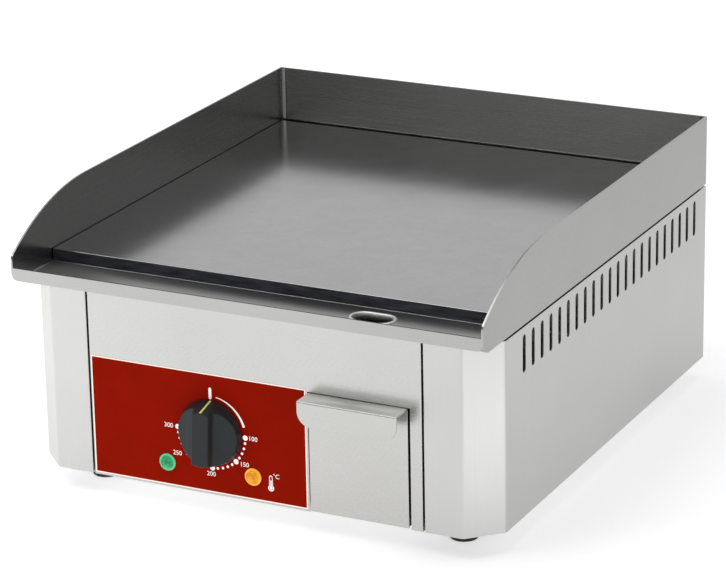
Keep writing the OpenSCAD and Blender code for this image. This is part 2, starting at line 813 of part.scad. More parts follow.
module drawer_box() color("lightgray") casing() {
  w = drawer_w - 2 * box_inset;
  translate([drawer_x1 + box_inset, sheet, box_z]) difference() {
    cube([w, box_d, box_top - box_z]);
    translate([box_t, box_t, box_t]) cube([w - 2 * box_t, box_d - 2 * box_t, box_top]);
  }
}

// Upright web beside the box, on a foot that also carries the box
module drawer_guide(x, side) {
  y1 = return_d + 4;
  foot_in = 12;
  foot_out = 10;
  translate([x + side * slide_clear, y1, base_top]) scale([side, 1, 1]) {
    cube([sheet, box_d - y1, guide_h]);
    translate([-foot_in, 0, 0]) cube([foot_in + foot_out, box_d - y1, sheet]);
  }
}

module left_drawer_guide() color("silver") casing()
  drawer_guide(drawer_x1 + box_inset, -1);

module right_drawer_guide() color("silver") casing()
  drawer_guide(drawer_x2 - box_inset, 1);

module drawer_stop() color("silver") casing()
  translate([(drawer_x1 + drawer_x2) / 2 - 15, sheet + box_d, base_top]) {
    cube([30, sheet, guide_h]);
    cube([30, 16, sheet]);
  }

// ---- Wiring ----

// Points of a smooth curve through the given ones
function between(a, b, c, d, t) =
  0.5 * (2 * b + (c - a) * t + (2 * a - 5 * b + 4 * c - d) * t * t
    + (3 * b - a - 3 * c + d) * t * t * t);

function smooth(p, steps) = [
  for (i = [0 : len(p) - 2], k = [0 : steps - 1])
    between(p[max(i - 1, 0)], p[i], p[i + 1], p[min(i + 2, len(p) - 1)], k / steps),
  p[len(p) - 1]
];

// Closed tube of the given radius along a path
module tube(path, r, sides = 8) {
  aside = [0.52, 0.31, 0.8];
  n = len(path);
  rings = [
    for (i = [0 : n - 1])
      let (
        t = unit(path[min(i + 1, n - 1)] - path[max(i - 1, 0)]),
        u = unit(cross(t, aside)),
        v = cross(t, u)
      )
      for (k = [0 : sides - 1])
        path[i] + r * (cos(360 * k / sides) * u + sin(360 * k / sides) * v)
  ];
  walls = [
    for (i = [0 : n - 2], k = [0 : sides - 1])
      let (a = i * sides + k, b = i * sides + (k + 1) % sides)
      each [[a, a + sides, b], [b, a + sides, b + sides]]
  ];
  start = [[for (k = [0 : sides - 1]) k]];
  end = [[for (k = [sides - 1 : -1 : 0]) (n - 1) * sides + k]];
  polyhedron(points = rings, faces = concat(walls, start, end));
}

module capillary_tube() color("peru") casing() {
  hole_y = drop_y - 5;
  tube(smooth([
    [-bulb_x, bulb_y + 1, plate_z - bulb_r],
    [-bulb_x, bulb_y - 8, plate_z - 7],
    [-bulb_x, bulb_y - 18, plate_z - 15],
    [-bulb_x, bar_y[0], plate_z - 17],
    [-bulb_x, drop_y + 16, plate_z - 18],
    [-bulb_x, hole_y, shield_z + 8],
    [-bulb_x, hole_y, shield_z - 8],
    [dial_x - 14, hole_y - 20, dial_z + 34],
    [dial_x - 10, 20, dial_z + 26],
    [dial_x - 10, 20, dial_z + 18]
  ], 4), capillary_r);
}

module terminal_block() color("ivory") casing()
  translate([block_x - block_size[0] / 2, block_y, base_top]) difference() {
    cube(block_size);
    for (i = [0 : 2]) translate([6 + 11 * i, -eps, 9]) rod_y(2.5, block_size[1] + 2 * eps);
    for (i = [0 : 2]) translate([6 + 11 * i, 6, 9]) cylinder(r = 2, h = block_size[2]);
  }

// Three leads from the terminal block to the back of the thermostat
module supply_leads() color("saddlebrown") casing()
  for (i = [0 : 2]) {
    x0 = block_x - block_size[0] / 2 + 6 + 11 * i;
    tube(smooth([
      [x0, block_y + 6, base_top + 9],
      [x0, block_y - 12, base_top + 9],
      [x0 - 4, block_y - 60, base_top + 4],
      [dial_x - 56 + 6 * i, body_d / 2 - 20, base_top + 3],
      [dial_x - 30 + 6 * i, 100, base_top + 8],
      [dial_x - 16 + 8 * i, 70, dial_z - 14],
      [dial_x - 13 + 9 * i, sheet + 46, dial_z - 4],
      [dial_x - 13 + 9 * i, sheet + 33, dial_z - 2]
    ], 3), lead_r);
  }

// Leads from the thermostat to the element terminals, above the drawer
module element_leads() color("white") casing() {
  z = plate_z - drop_h - terminal_h;
  for (i = [0 : 3]) {
    x = terminal_x[i];
    tube(smooth([
      [dial_x - 16 + 9 * i, sheet + 33, dial_z + 14],
      [dial_x - 16 + 9 * i, sheet + 44, dial_z + 15],
      [(dial_x + x) / 2, 62 + 3 * i, z - 6],
      [x, drop_y, z - 7],
      [x, drop_y, z + 2]
    ], 4), lead_r);
  }
}

module lamp_leads() color("gray") casing()
  for (s = [-1, 1]) {
    tube(smooth([
      [lamp_x + s * lamp_dx, sheet + 23, lamp_z],
      [lamp_x + s * lamp_dx, sheet + 36, lamp_z + 1],
      [dial_x + s * 26, sheet + 50, lamp_z + 14],
      [dial_x + s * 18, sheet + 44, dial_z - 15],
      [dial_x + s * 18, sheet + 33, dial_z - 15]
    ], 4), 1);
  }

// ---- Rear fittings ----

module cable_gland() color("dimgray") casing() translate([gland_x, body_d, gland_z])
  difference() {
    union() {
      translate([0, -sheet - 9, 0]) rod_y(gland_r, sheet + 9);
      hex_y(24, gland_hex_h);
      translate([0, gland_hex_h, 0]) rod_y(gland_neck_r, gland_neck_h);
    }
    translate([0, -sheet - 9 - eps, 0]) rod_y(cable_r + 1.5, sheet + 40);
  }

module gland_seal() color("black") casing() translate([gland_x, body_d, gland_z])
  difference() {
    rod_y(cable_r + 1.5, gland_hex_h + gland_neck_h);
    translate([0, -eps, 0]) rod_y(cable_r, gland_hex_h + gland_neck_h + 2 * eps);
  }

module gland_cap() color("dimgray") casing()
  translate([gland_x, body_d + gland_hex_h, gland_z]) difference() {
    union() {
      hex_y(22.5, gland_neck_h + 2);
      translate([0, gland_neck_h + 2, 0]) rotate([-90, 0, 0])
        cylinder(r1 = 11, r2 = 8.5, h = gland_out - gland_hex_h - gland_neck_h - 2);
    }
    translate([0, -eps, 0]) rod_y(gland_neck_r + thread_clear, gland_neck_h + eps);
    rod_y(cable_r + 0.6, gland_out);
  }

module gland_locknut() color("dimgray") casing()
  translate([gland_x, body_d - sheet - 5, gland_z]) difference() {
    hex_y(26, 5);
    translate([0, -eps, 0]) rod_y(gland_r + thread_clear, 5 + 2 * eps);
  }

module bonding_stud() color("silver") casing() translate([bond_x, body_d, gland_z]) {
  translate([0, -sheet - 12, 0]) rod_y(bond_r, sheet + 12);
  hex_y(10, bond_hex_h);
  translate([0, bond_hex_h, 0]) rod_y(bond_r, bond_out - bond_hex_h);
}

module bonding_nut() color("silver") casing()
  translate([bond_x, body_d - sheet - 5, gland_z]) difference() {
    hex_y(10, 5);
    translate([0, -eps, 0]) rod_y(bond_r + thread_clear, 5 + 2 * eps);
  }

// ---- Feet ----

module foot_at(side_x, rear) {
  y = rear ? body_d - foot_inset_y : foot_inset_y;
  translate([side_x * (half_w - foot_inset_x), y, -foot_h]) children();
}

module foot() difference() {
  cylinder(d = foot_d, h = foot_top);
  translate([0, 0, -eps]) cylinder(r = 6, h = foot_recess + eps);
  cylinder(r = foot_screw_r + 0.2, h = foot_top + eps);
}

module front_left_foot() color("black") casing() foot_at(-1, false) foot();

module front_right_foot() color("black") casing() foot_at(1, false) foot();

module rear_left_foot() color("black") casing() foot_at(-1, true) foot();

module rear_right_foot() color("black") casing() foot_at(1, true) foot();

module foot_screws() color("silver") casing()
  for (s = [-1, 1], rear = [false, true]) foot_at(s, rear)
    translate([0, 0, foot_recess - 3]) {
      cylinder(r = 4.5, h = 3);
      cylinder(r = foot_screw_r, h = foot_top + sheet + 6 - foot_recess + 3);
    }

module foot_nuts() color("silver") casing()
  for (s = [-1, 1], rear = [false, true]) foot_at(s, rear)
    translate([0, 0, foot_h + base_top]) difference() {
      hex_z(8, 4);
      translate([0, 0, -eps]) cylinder(r = foot_screw_r + thread_clear, h = 4 + 2 * eps);
    }

left_side_panel();
right_side_panel();
front_panel();
rear_panel();
rear_rail();
base_plate();
support_frame();
splash_pan();
drain_spout();
griddle_plate();
plate_studs();
left_heating_element();
right_heating_element();
element_terminals();
front_clamp_bar();
rear_clamp_bar();
clamp_nuts();
heat_shield();
insulation_blanket();
thermostat_body();
thermostat_shaft();
thermostat_screws();
sensor_bulb();
bulb_clips();
capillary_tube();
safety_cutout();
control_overlay();
control_knob();
knob_pointer();
green_lens();
amber_lens();
green_lamp_body();
amber_lamp_body();
drawer_front();
drawer_box();
left_drawer_guide();
right_drawer_guide();
drawer_stop();
terminal_block();
supply_leads();
element_leads();
lamp_leads();
cable_gland();
gland_cap();
gland_seal();
gland_locknut();
bonding_stud();
bonding_nut();
front_left_foot();
front_right_foot();
rear_left_foot();
rear_right_foot();
foot_screws();
foot_nuts();
rear_panel_screws();
base_screws();
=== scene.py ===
import json
from math import cos, exp, log, pi, radians, sin

import bmesh
import bpy
from mathutils import Euler, Matrix, Vector


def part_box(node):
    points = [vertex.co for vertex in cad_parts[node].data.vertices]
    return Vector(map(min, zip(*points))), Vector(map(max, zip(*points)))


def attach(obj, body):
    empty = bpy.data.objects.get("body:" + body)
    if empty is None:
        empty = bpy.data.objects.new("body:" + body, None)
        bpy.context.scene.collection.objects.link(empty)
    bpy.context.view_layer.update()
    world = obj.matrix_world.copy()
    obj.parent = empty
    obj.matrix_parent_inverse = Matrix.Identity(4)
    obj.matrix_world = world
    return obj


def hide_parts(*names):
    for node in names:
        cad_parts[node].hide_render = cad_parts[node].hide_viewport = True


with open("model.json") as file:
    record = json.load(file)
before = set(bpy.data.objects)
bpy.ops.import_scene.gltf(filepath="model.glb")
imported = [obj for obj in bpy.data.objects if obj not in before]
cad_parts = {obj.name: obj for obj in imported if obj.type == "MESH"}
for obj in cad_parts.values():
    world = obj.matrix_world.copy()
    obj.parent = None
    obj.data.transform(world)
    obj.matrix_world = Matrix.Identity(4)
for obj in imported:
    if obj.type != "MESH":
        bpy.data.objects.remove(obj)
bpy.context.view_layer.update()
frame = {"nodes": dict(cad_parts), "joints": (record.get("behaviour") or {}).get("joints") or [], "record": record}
scene = bpy.context.scene

# ---- camera, lights and floor ----

cameraView = {
    "place": (1.1327, -2.2747, 1.0096),
    "yaw": 26.77,
    "pitch": 19.30,
    "roll": -1.10,
    "lens": 164.4,
    "shift": (0.0018, -0.0004),
}

camera = bpy.data.objects.new("camera", bpy.data.cameras.new("camera"))
camera.data.lens = cameraView["lens"]
camera.data.sensor_width = 36.0
camera.data.shift_x, camera.data.shift_y = cameraView["shift"]
camera.data.clip_end = 60.0
camera.matrix_world = (
    Matrix.Translation(cameraView["place"])
    @ Matrix.Rotation(radians(cameraView["yaw"]), 4, "Z")
    @ Matrix.Rotation(radians(90 - cameraView["pitch"]), 4, "X")
    @ Matrix.Rotation(radians(cameraView["roll"]), 4, "Z")
)
scene.collection.objects.link(camera)
scene.camera = camera
scene.view_settings.view_transform = "Standard"
scene.view_settings.look = "None"


def addNode(tree, kind, sockets=None, **settings):
    node = tree.nodes.new(kind)
    for key, value in settings.items():
        setattr(node, key, value)
    for key, value in (sockets or {}).items():
        if isinstance(value, bpy.types.NodeSocket):
            tree.links.new(value, node.inputs[key])
        else:
            node.inputs[key].default_value = value
    return node


def colourRamp(tree, source, stops):
    node = addNode(tree, "ShaderNodeValToRGB", {"Fac": source})
    elements = node.color_ramp.elements
    elements[0].position, elements[1].position = stops[0][0], stops[-1][0]
    for place, colour in stops[1:-1]:
        elements.new(place)
    for element, (place, colour) in zip(elements, stops):
        colour = colour if hasattr(colour, "__len__") else (colour,) * 3
        element.color = (*colour, 1.0)
    return node.outputs["Color"]


def mixColour(tree, factor, first, second, mode="MIX"):
    node = addNode(tree, "ShaderNodeMix", data_type="RGBA", blend_type=mode)
    for index, value in ((0, factor), (6, first), (7, second)):
        if isinstance(value, bpy.types.NodeSocket):
            tree.links.new(value, node.inputs[index])
        elif index == 0:
            node.inputs[0].default_value = value
        else:
            node.inputs[index].default_value = (*value, 1.0)
    return node.outputs[2]


def mathNode(tree, operation, first, second=0.0):
    return addNode(tree, "ShaderNodeMath", {0: first, 1: second}, operation=operation).outputs[0]


def rescale(tree, source, fromLow, fromHigh, toLow=0.0, toHigh=1.0, kind="LINEAR"):
    sockets = {
        "Value": source, "From Min": fromLow, "From Max": fromHigh, "To Min": toLow, "To Max": toHigh,
    }
    return addNode(tree, "ShaderNodeMapRange", sockets, interpolation_type=kind).outputs["Result"]


def separated(tree, vector):
    return addNode(tree, "ShaderNodeSeparateXYZ", {0: vector}).outputs


def objectPoint(tree):
    return addNode(tree, "ShaderNodeTexCoord").outputs["Object"]


def newFinish(name, sockets):
    material = bpy.data.materials.new(name)
    material.use_nodes = True
    shader = material.node_tree.nodes["Principled BSDF"]
    for key, value in sockets.items():
        shader.inputs[key].default_value = value
    return material, material.node_tree, shader


def feed(shader, socketName, source):
    shader.id_data.links.new(source, shader.inputs[socketName])


# wall: brightness of the room, from opposite the lit side round to it
# horizon: glow, and the heights it fades over
studio = {
    "towards": (-0.45, 0.893, 0.0),
    "wall": (
        (0.0, 0.62), (0.18, 0.42), (0.20, 0.28), (0.22, 0.13), (0.26, 0.07), (0.55, 0.12), (0.72, 0.36),
        (0.86, 0.41), (0.95, 0.84), (1.0, 0.86),
    ),
    "ceiling": 0.32,
    "ceilingRise": (0.45, 0.85),
    "horizon": (0.80, 0.10, 0.20),
    "floorReach": (-12.0, -1.3, 12.0, 14.0),
    "floorGlow": ((0.0, 0.78), (1.0, 0.58)),
    "glowReach": (-0.45, 0.15),
    "brightSpot": ((0.50, -0.33, 0.0), 0.34, 0.85),
    "floorColour": (0.76, 0.76, 0.77),
    "lights": {
        "overhead": ((-0.2, 0.0, 2.4), (0.0, 0.0, 0.1), 1.9, 14.0),
        "foldLight": ((-0.84, -0.97, 2.0), (0.0, -0.15, 0.12), 1.5, 12.0),
    },
}


def lightWorld():
    world = bpy.data.worlds.new("studio")
    scene.world = world
    world.use_nodes = True
    tree = world.node_tree
    tree.nodes.clear()
    outward = addNode(tree, "ShaderNodeTexCoord").outputs["Generated"]
    facing = addNode(
        tree, "ShaderNodeVectorMath", {0: outward, 1: studio["towards"]}, operation="DOT_PRODUCT"
    ).outputs["Value"]
    wall = colourRamp(tree, rescale(tree, facing, -1.0, 1.0), studio["wall"])
    height = separated(tree, outward)["Z"]
    glow, bandLow, bandHigh = studio["horizon"]
    lower = mixColour(tree, rescale(tree, height, bandLow, bandHigh, 1.0, 0.0), wall, (glow,) * 3)
    rise = rescale(tree, height, *studio["ceilingRise"])
    above = mixColour(tree, rise, lower, (studio["ceiling"],) * 3)
    direct = addNode(tree, "ShaderNodeLightPath").outputs["Is Camera Ray"]
    background = addNode(
        tree, "ShaderNodeBackground", {"Color": mixColour(tree, direct, above, (1.0, 1.0, 1.0))}
    )
    leave = addNode(tree, "ShaderNodeOutputWorld")
    tree.links.new(background.outputs[0], leave.inputs["Surface"])


def areaLight(name, place, aim, size, power):
    lamp = bpy.data.lights.new(name, "AREA")
    lamp.shape = "DISK"
    lamp.size = size
    lamp.energy = power
    light = bpy.data.objects.new(name, lamp)
    light.location = place
    light.rotation_euler = (Vector(aim) - Vector(place)).to_track_quat("-Z", "Y").to_euler()
    scene.collection.objects.link(light)


def layFloor():
    mesh = bpy.data.meshes.new("floor")
    left, front, right, back = studio["floorReach"]
    mesh.from_pydata(
        [(left, front, 0), (right, front, 0), (right, back, 0), (left, back, 0)], [], [(0, 1, 2, 3)]
    )
    floor = bpy.data.objects.new("floor", mesh)
    scene.collection.objects.link(floor)
    material, tree, shader = newFinish(
        "paleFloor",
        {"Base Color": (*studio["floorColour"], 1.0), "Roughness": 0.85, "Specular IOR Level": 0.1},
    )
    point = objectPoint(tree)
    across = rescale(tree, separated(tree, point)["X"], *studio["glowReach"])
    centre, reach, gain = studio["brightSpot"]
    away = addNode(tree, "ShaderNodeVectorMath", {0: point, 1: centre}, operation="DISTANCE")
    spot = rescale(tree, away.outputs["Value"], 0.0, reach, 1.0 + gain, 1.0, "SMOOTHSTEP")
    feed(shader, "Emission Color", colourRamp(tree, across, studio["floorGlow"]))
    feed(shader, "Emission Strength", spot)
    mesh.materials.append(material)


lightWorld()
for lightName, lightValues in studio["lights"].items():
    areaLight(lightName, *lightValues)
layFloor()
print("studio: camera, %d lights, floor" % len(studio["lights"]))

# ---- finishes ----


# scale is one number, or one for each axis
def noise(tree, scale, detail=3.0, roughness=0.5, distortion=0.0, shift=(0, 0, 0)):
    scale = scale if hasattr(scale, "__len__") else (scale,) * 3
    placed = addNode(
        tree, "ShaderNodeMapping", {"Vector": objectPoint(tree), "Scale": scale, "Location": shift}
    )
    sockets = {
        "Vector": placed.outputs[0], "Scale": 1.0, "Detail": detail, "Roughness": roughness,
        "Distortion": distortion,
    }
    return addNode(tree, "ShaderNodeTexNoise", sockets).outputs["Fac"]


def cells(tree, scale, output="Distance"):
    sockets = {"Vector": objectPoint(tree), "Scale": scale}
    return addNode(tree, "ShaderNodeTexVoronoi", sockets).outputs[output]


def addBump(tree, shader, height, distance, strength=1.0):
    sockets = {"Height": height, "Distance": distance, "Strength": strength}
    bump = addNode(tree, "ShaderNodeBump", sockets)
    feed(shader, "Normal", bump.outputs["Normal"])


def roughen(tree, shader, pattern, base, atLow, atHigh):
    feed(shader, "Roughness", rescale(tree, pattern, 0.3, 0.7, base + atLow, base + atHigh))


# Two tints of one colour, spread over a cloudy pattern
def cloudy(tree, pattern, low, high, colour, darker, lighter):
    stops = ((low, [c * darker for c in colour]), (high, [min(1, c * lighter) for c in colour]))
    return colourRamp(tree, pattern, stops)


# The side tint and front tint are painted shade, darkening faces that look sideways or to the front; flat adds
# roughness to level faces; the level tint is painted light, brightening level faces
steels = {
    "frontSteel": {"tint": (0.56, 0.56, 0.545), "grain": (5, 5, 1400), "rough": 0.28},
    "sideSteel": {"tint": (0.58, 0.58, 0.565), "sidePaintedShade": 0.86, "grain": (1400, 1400, 5), "rough": 0.30},
    "guardSteel": {
        "tint": (0.47, 0.47, 0.455), "sidePaintedShade": 0.74, "front": 0.94, "flat": 0.08,
        "grain": (5, 5, 1400), "rough": 0.25,
    },
    "drawerSteel": {
        "tint": (0.55, 0.55, 0.53), "flat": 0.45, "levelPaintedLight": 1.75,
        "grain": (5, 5, 1400), "rough": 0.28,
    },
    # Drain rim: lighter than the guard steel it is pressed from, a painted highlight on the rim
    "drainHighlightSteel": {"tint": (0.80, 0.80, 0.77), "grain": (5, 5, 1400), "rough": 0.48},
    "insideSteel": {"tint": (0.52, 0.52, 0.51), "grain": (900, 5, 5), "rough": 0.34},
}


def brushedSteel(name, values):
    material, tree, shader = newFinish(name, {"Metallic": 1.0, "Anisotropic": 0.35})
    grain = noise(tree, values["grain"], 3.0, 0.6)
    flat = noise(tree, (values["grain"][0], 1400, 5), 3.0, 0.6, 0.0, (0.3, 0.1, 0.2))
    facing = separated(tree, addNode(tree, "ShaderNodeNewGeometry").outputs["Normal"])
    level = mathNode(tree, "GREATER_THAN", mathNode(tree, "ABSOLUTE", facing["Z"]), 0.7)
    lines = rescale(tree, mixColour(tree, level, grain, flat), 0.3, 0.7)
    sheen = cloudy(tree, noise(tree, 7, 2.0), 0.3, 0.7, values["tint"], 0.95, 1.03)
    # Base colour: random tone times grain lines, then painted shade on faces looking sideways or to the front, and
    # painted light on level faces
    layers = [colourRamp(tree, lines, ((0.0, 0.965), (1.0, 1.0)))]
    for side, axis in (("sidePaintedShade", "X"), ("front", "Y")):
        sideways = mathNode(tree, "ABSOLUTE", facing[axis])
        layers.append(colourRamp(tree, sideways, ((0.75, 1.0), (0.95, values.get(side, 1.0)))))
    layers.append(rescale(tree, level, 0.0, 1.0, 1.0, values.get("levelPaintedLight", 1.0)))
    for layer in layers:
        sheen = mixColour(tree, 1.0, sheen, layer, "MULTIPLY")
    feed(shader, "Base Color", sheen)
    rough = rescale(tree, lines, 0.0, 1.0, values["rough"] - 0.03, values["rough"] + 0.04)
    dulled = mathNode(tree, "MULTIPLY", level, values.get("flat", 0.0))
    feed(shader, "Roughness", mathNode(tree, "ADD", rough, dulled))
    addBump(tree, shader, lines, 0.0000015)
    return material


plateFinish = {
    "tint": (0.385, 0.385, 0.395), "edge": (0.066, 0.069, 0.082), "rough": 0.17, "edgeRough": 0.42,
}


def groundPlate(name, values):
    material, tree, shader = newFinish(name, {"Metallic": 1.0, "Specular IOR Level": 0.4})
    fine = noise(tree, (260, 900, 260), 4.0, 0.6)
    mottle = noise(tree, 45, 4.0, 0.65)
    swirl = noise(tree, 9, 2.0, 0.5, 1.5)
    top = cloudy(tree, mottle, 0.25, 0.75, values["tint"], 0.94, 1.04)
    top = mixColour(tree, 0.25, top, colourRamp(tree, fine, ((0.3, 0.30), (0.7, 0.48))))
    normal = addNode(tree, "ShaderNodeNewGeometry").outputs["Normal"]
    isTop = mathNode(tree, "GREATER_THAN", separated(tree, normal)["Z"], 0.6)
    scale = noise(tree, (60, 60, 500), 3.0)
    edge = cloudy(tree, scale, 0.3, 0.7, values["edge"], 0.7, 1.6)
    feed(shader, "Base Color", mixColour(tree, isTop, edge, top))
    topRough = rescale(tree, swirl, 0.25, 0.75, values["rough"] - 0.02, values["rough"] + 0.03)
    edgeRough = rescale(tree, scale, 0.3, 0.7, values["edgeRough"] - 0.06, values["edgeRough"] + 0.06)
    rough = addNode(tree, "ShaderNodeMix", {0: isTop, 2: edgeRough, 3: topRough})
    feed(shader, "Roughness", rough.outputs[0])
    addBump(tree, shader, fine, 0.0000035)
    return material


zincs = {
    "zincPlate": {"dark": (0.50, 0.51, 0.53), "light": (0.70, 0.71, 0.72), "rough": 0.32},
    "oxidisedSheath": {"dark": (0.10, 0.095, 0.09), "light": (0.22, 0.20, 0.19), "rough": 0.5},
    "brass": {"dark": (0.55, 0.40, 0.16), "light": (0.80, 0.62, 0.30), "rough": 0.3},
    "copper": {"dark": (0.50, 0.25, 0.15), "light": (0.72, 0.42, 0.28), "rough": 0.35},
}


def plainMetal(name, values):
    material, tree, shader = newFinish(name, {"Metallic": 1.0})
    patches = noise(tree, 140, 4.0, 0.6)
    tones = colourRamp(tree, patches, ((0.35, values["dark"]), (0.65, values["light"])))
    feed(shader, "Base Color", tones)
    roughen(tree, shader, patches, values["rough"], 0.08, -0.05)
    addBump(tree, shader, noise(tree, 900, 2.0), 0.00001)
    return material


def spangledSheet(name):
    material, tree, shader = newFinish(name, {"Metallic": 1.0})
    spangle = separated(tree, cells(tree, 90.0, "Color"))["X"]
    tones = colourRamp(tree, spangle, ((0.0, (0.52, 0.54, 0.56)), (1.0, (0.72, 0.74, 0.76))))
    feed(shader, "Base Color", tones)
    feed(shader, "Roughness", rescale(tree, spangle, 0.0, 1.0, 0.36, 0.5))
    return material


def mineralWool(name):
    material, tree, shader = newFinish(name, {"Roughness": 0.95, "Specular IOR Level": 0.1})
    fibres = noise(tree, (120, 900, 400), 6.0, 0.7, 1.0)
    tones = colourRamp(tree, fibres, ((0.3, (0.50, 0.43, 0.26)), (0.7, (0.80, 0.74, 0.55))))
    feed(shader, "Base Color", tones)
    addBump(tree, shader, fibres, 0.0008)
    return material


plastics = {
    "knobPlastic": {"colour": (0.016, 0.020, 0.021), "rough": 0.42, "grain": 0.000010},
    "blackPhenolic": {"colour": (0.030, 0.028, 0.027), "rough": 0.34, "grain": 0.00001},
    "blackNylon": {"colour": (0.022, 0.022, 0.024), "rough": 0.45, "grain": 0.00002},
    "footRubber": {"colour": (0.012, 0.012, 0.012), "rough": 0.62, "grain": 0.00003},
    "sealRubber": {"colour": (0.018, 0.018, 0.018), "rough": 0.58, "grain": 0.00002},
    "lampPlastic": {"colour": (0.78, 0.76, 0.70), "rough": 0.40, "grain": 0.00001},
    # Black for strips that stand in for shade: painted shade
    "paintedShadeBlack": {"colour": (0.030, 0.030, 0.030), "rough": 0.50, "grain": 0.00002},
    "porcelain": {"colour": (0.84, 0.82, 0.76), "rough": 0.22, "grain": 0.000006},
    # The pointer inlay and the white ink glow: painted light, as neither is a lamp
    "yellowInlay": {"colour": (0.72, 0.68, 0.17), "rough": 0.50, "grain": 0.00001, "glow": 0.18},
    "whiteInk": {"colour": (0.90, 0.89, 0.86), "rough": 0.50, "grain": 0.000002, "glow": 0.40},
    "sleeveBrown": {"colour": (0.20, 0.09, 0.04), "rough": 0.50, "grain": 0.00002},
    "sleeveGrey": {"colour": (0.32, 0.33, 0.35), "rough": 0.50, "grain": 0.00002},
}


def mouldedPlastic(name, values):
    material, tree, shader = newFinish(name, {"Specular IOR Level": 0.3})
    grain = noise(tree, 1500, 2.0)
    clouds = noise(tree, 60, 3.0)
    tone = cloudy(tree, clouds, 0.3, 0.7, values["colour"], 0.88, 1.1)
    feed(shader, "Base Color", tone)
    # Emission is painted light, set by glow; it is zero for plastics without glow
    feed(shader, "Emission Color", tone)
    shader.inputs["Emission Strength"].default_value = values.get("glow", 0.0)
    roughen(tree, shader, clouds, values["rough"], -0.05, 0.05)
    addBump(tree, shader, grain, values["grain"])
    return material


def wovenSleeve(name, colour):
    material, tree, shader = newFinish(name, {"Roughness": 0.85, "Specular IOR Level": 0.2})
    strands = []
    for turn in (0.8, -0.8):
        sockets = {"Vector": objectPoint(tree), "Rotation": (turn, turn, 0.6)}
        placed = addNode(tree, "ShaderNodeMapping", sockets)
        wave = addNode(tree, "ShaderNodeTexWave", {"Vector": placed.outputs[0], "Scale": 420.0})
        strands.append(wave.outputs["Fac"])
    weave = mathNode(tree, "MAXIMUM", *strands)
    tones = colourRamp(tree, weave, ((0.0, [c * 0.6 for c in colour]), (1.0, colour)))
    feed(shader, "Base Color", tones)
    addBump(tree, shader, weave, 0.0001)
    return material


# Red face with a cream border band; the border also glows, which is painted light
printedPlate = {
    "red": (0.315, 0.0070, 0.0002), "rough": 0.45,
    "border": 0.0009, "edge": (0.95, 0.82, 0.72), "borderPaintedGlow": 0.35,
}


def redPlate(name, values):
    low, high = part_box("control_overlay")
    material, tree, shader = newFinish(name, {"Specular IOR Level": 0.02})
    parts = separated(tree, objectPoint(tree))
    reach = []
    for axis, index in (("X", 0), ("Z", 2)):
        middle = (low[index] + high[index]) / 2
        offset = mathNode(tree, "ABSOLUTE", mathNode(tree, "SUBTRACT", parts[axis], middle))
        inner = (high[index] - low[index]) / 2 - values["border"]
        reach.append(mathNode(tree, "SUBTRACT", offset, inner))
    atEdge = mathNode(tree, "GREATER_THAN", mathNode(tree, "MAXIMUM", *reach), 0.0)
    clouds = noise(tree, 40, 3.0)
    face = cloudy(tree, clouds, 0.3, 0.7, values["red"], 0.93, 1.05)
    feed(shader, "Base Color", mixColour(tree, atEdge, face, values["edge"]))
    # The border's emission is painted light on a plate that is no lamp
    feed(shader, "Emission Color", mixColour(tree, atEdge, (0, 0, 0), values["edge"]))
    shader.inputs["Emission Strength"].default_value = values["borderPaintedGlow"]
    roughen(tree, shader, clouds, values["rough"], -0.03, 0.04)
    addBump(tree, shader, noise(tree, 1300, 2.0), 0.000006)
    return material


lensColours = {
    "greenLens": {
        "deep": (0.004, 0.14, 0.055), "bright": (0.040, 0.52, 0.21), "rim": (0.12, 0.64, 0.33),
    },
    "amberLens": {
        "deep": (0.48, 0.15, 0.003), "bright": (0.95, 0.42, 0.008), "rim": (0.97, 0.52, 0.05),
    },
}


def lampLens(name, values, node):
    low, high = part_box(node)
    middle = (low + high) / 2
    glass = {
        "Roughness": 0.18, "Transmission Weight": 0.15, "Specular IOR Level": 0.3,
        "Coat Weight": 0.25, "Coat Roughness": 0.08,
        "Subsurface Weight": 0.25, "Subsurface Scale": 0.003,
    }
    material, tree, shader = newFinish(name, glass)
    parts = separated(tree, objectPoint(tree))
    squares = []
    for axis, centre in (("X", middle.x), ("Z", middle.z)):
        offset = mathNode(tree, "SUBTRACT", parts[axis], centre)
        squares.append(mathNode(tree, "MULTIPLY", offset, offset))
    radius = mathNode(tree, "SQRT", mathNode(tree, "ADD", *squares))
    facets = rescale(tree, cells(tree, 380.0), 0.1, 0.9)
    patch = noise(tree, 260, 2.0)
    smooth = colourRamp(tree, patch, ((0.35, values["deep"]), (0.62, values["bright"])))
    cut = colourRamp(tree, facets, ((0.0, values["bright"]), (1.0, values["deep"])))
    ring = rescale(tree, radius, 0.0046, 0.0062)
    colour = mixColour(tree, ring, mixColour(tree, 0.5, smooth, cut), values["rim"])
    feed(shader, "Base Color", colour)
    feed(shader, "Emission Color", colour)
    shader.inputs["Emission Strength"].default_value = 0.34
    addBump(tree, shader, facets, 0.00015, 0.5)
    return material


finish = {name: brushedSteel(name, values) for name, values in steels.items()}
finish.update({name: plainMetal(name, values) for name, values in zincs.items()})
finish.update({name: mouldedPlastic(name, values) for name, values in plastics.items()})
finish["plateSteel"] = groundPlate("plateSteel", plateFinish)
finish["shieldSheet"] = spangledSheet("shieldSheet")
finish["mineralWool"] = mineralWool("mineralWool")
finish["sleeveWhite"] = wovenSleeve("sleeveWhite", (0.80, 0.78, 0.72))
finish["redPlate"] = redPlate("redPlate", printedPlate)
finish["greenLens"] = lampLens("greenLens", lensColours["greenLens"], "green_lens")
finish["amberLens"] = lampLens("amberLens", lensColours["amberLens"], "amber_lens")

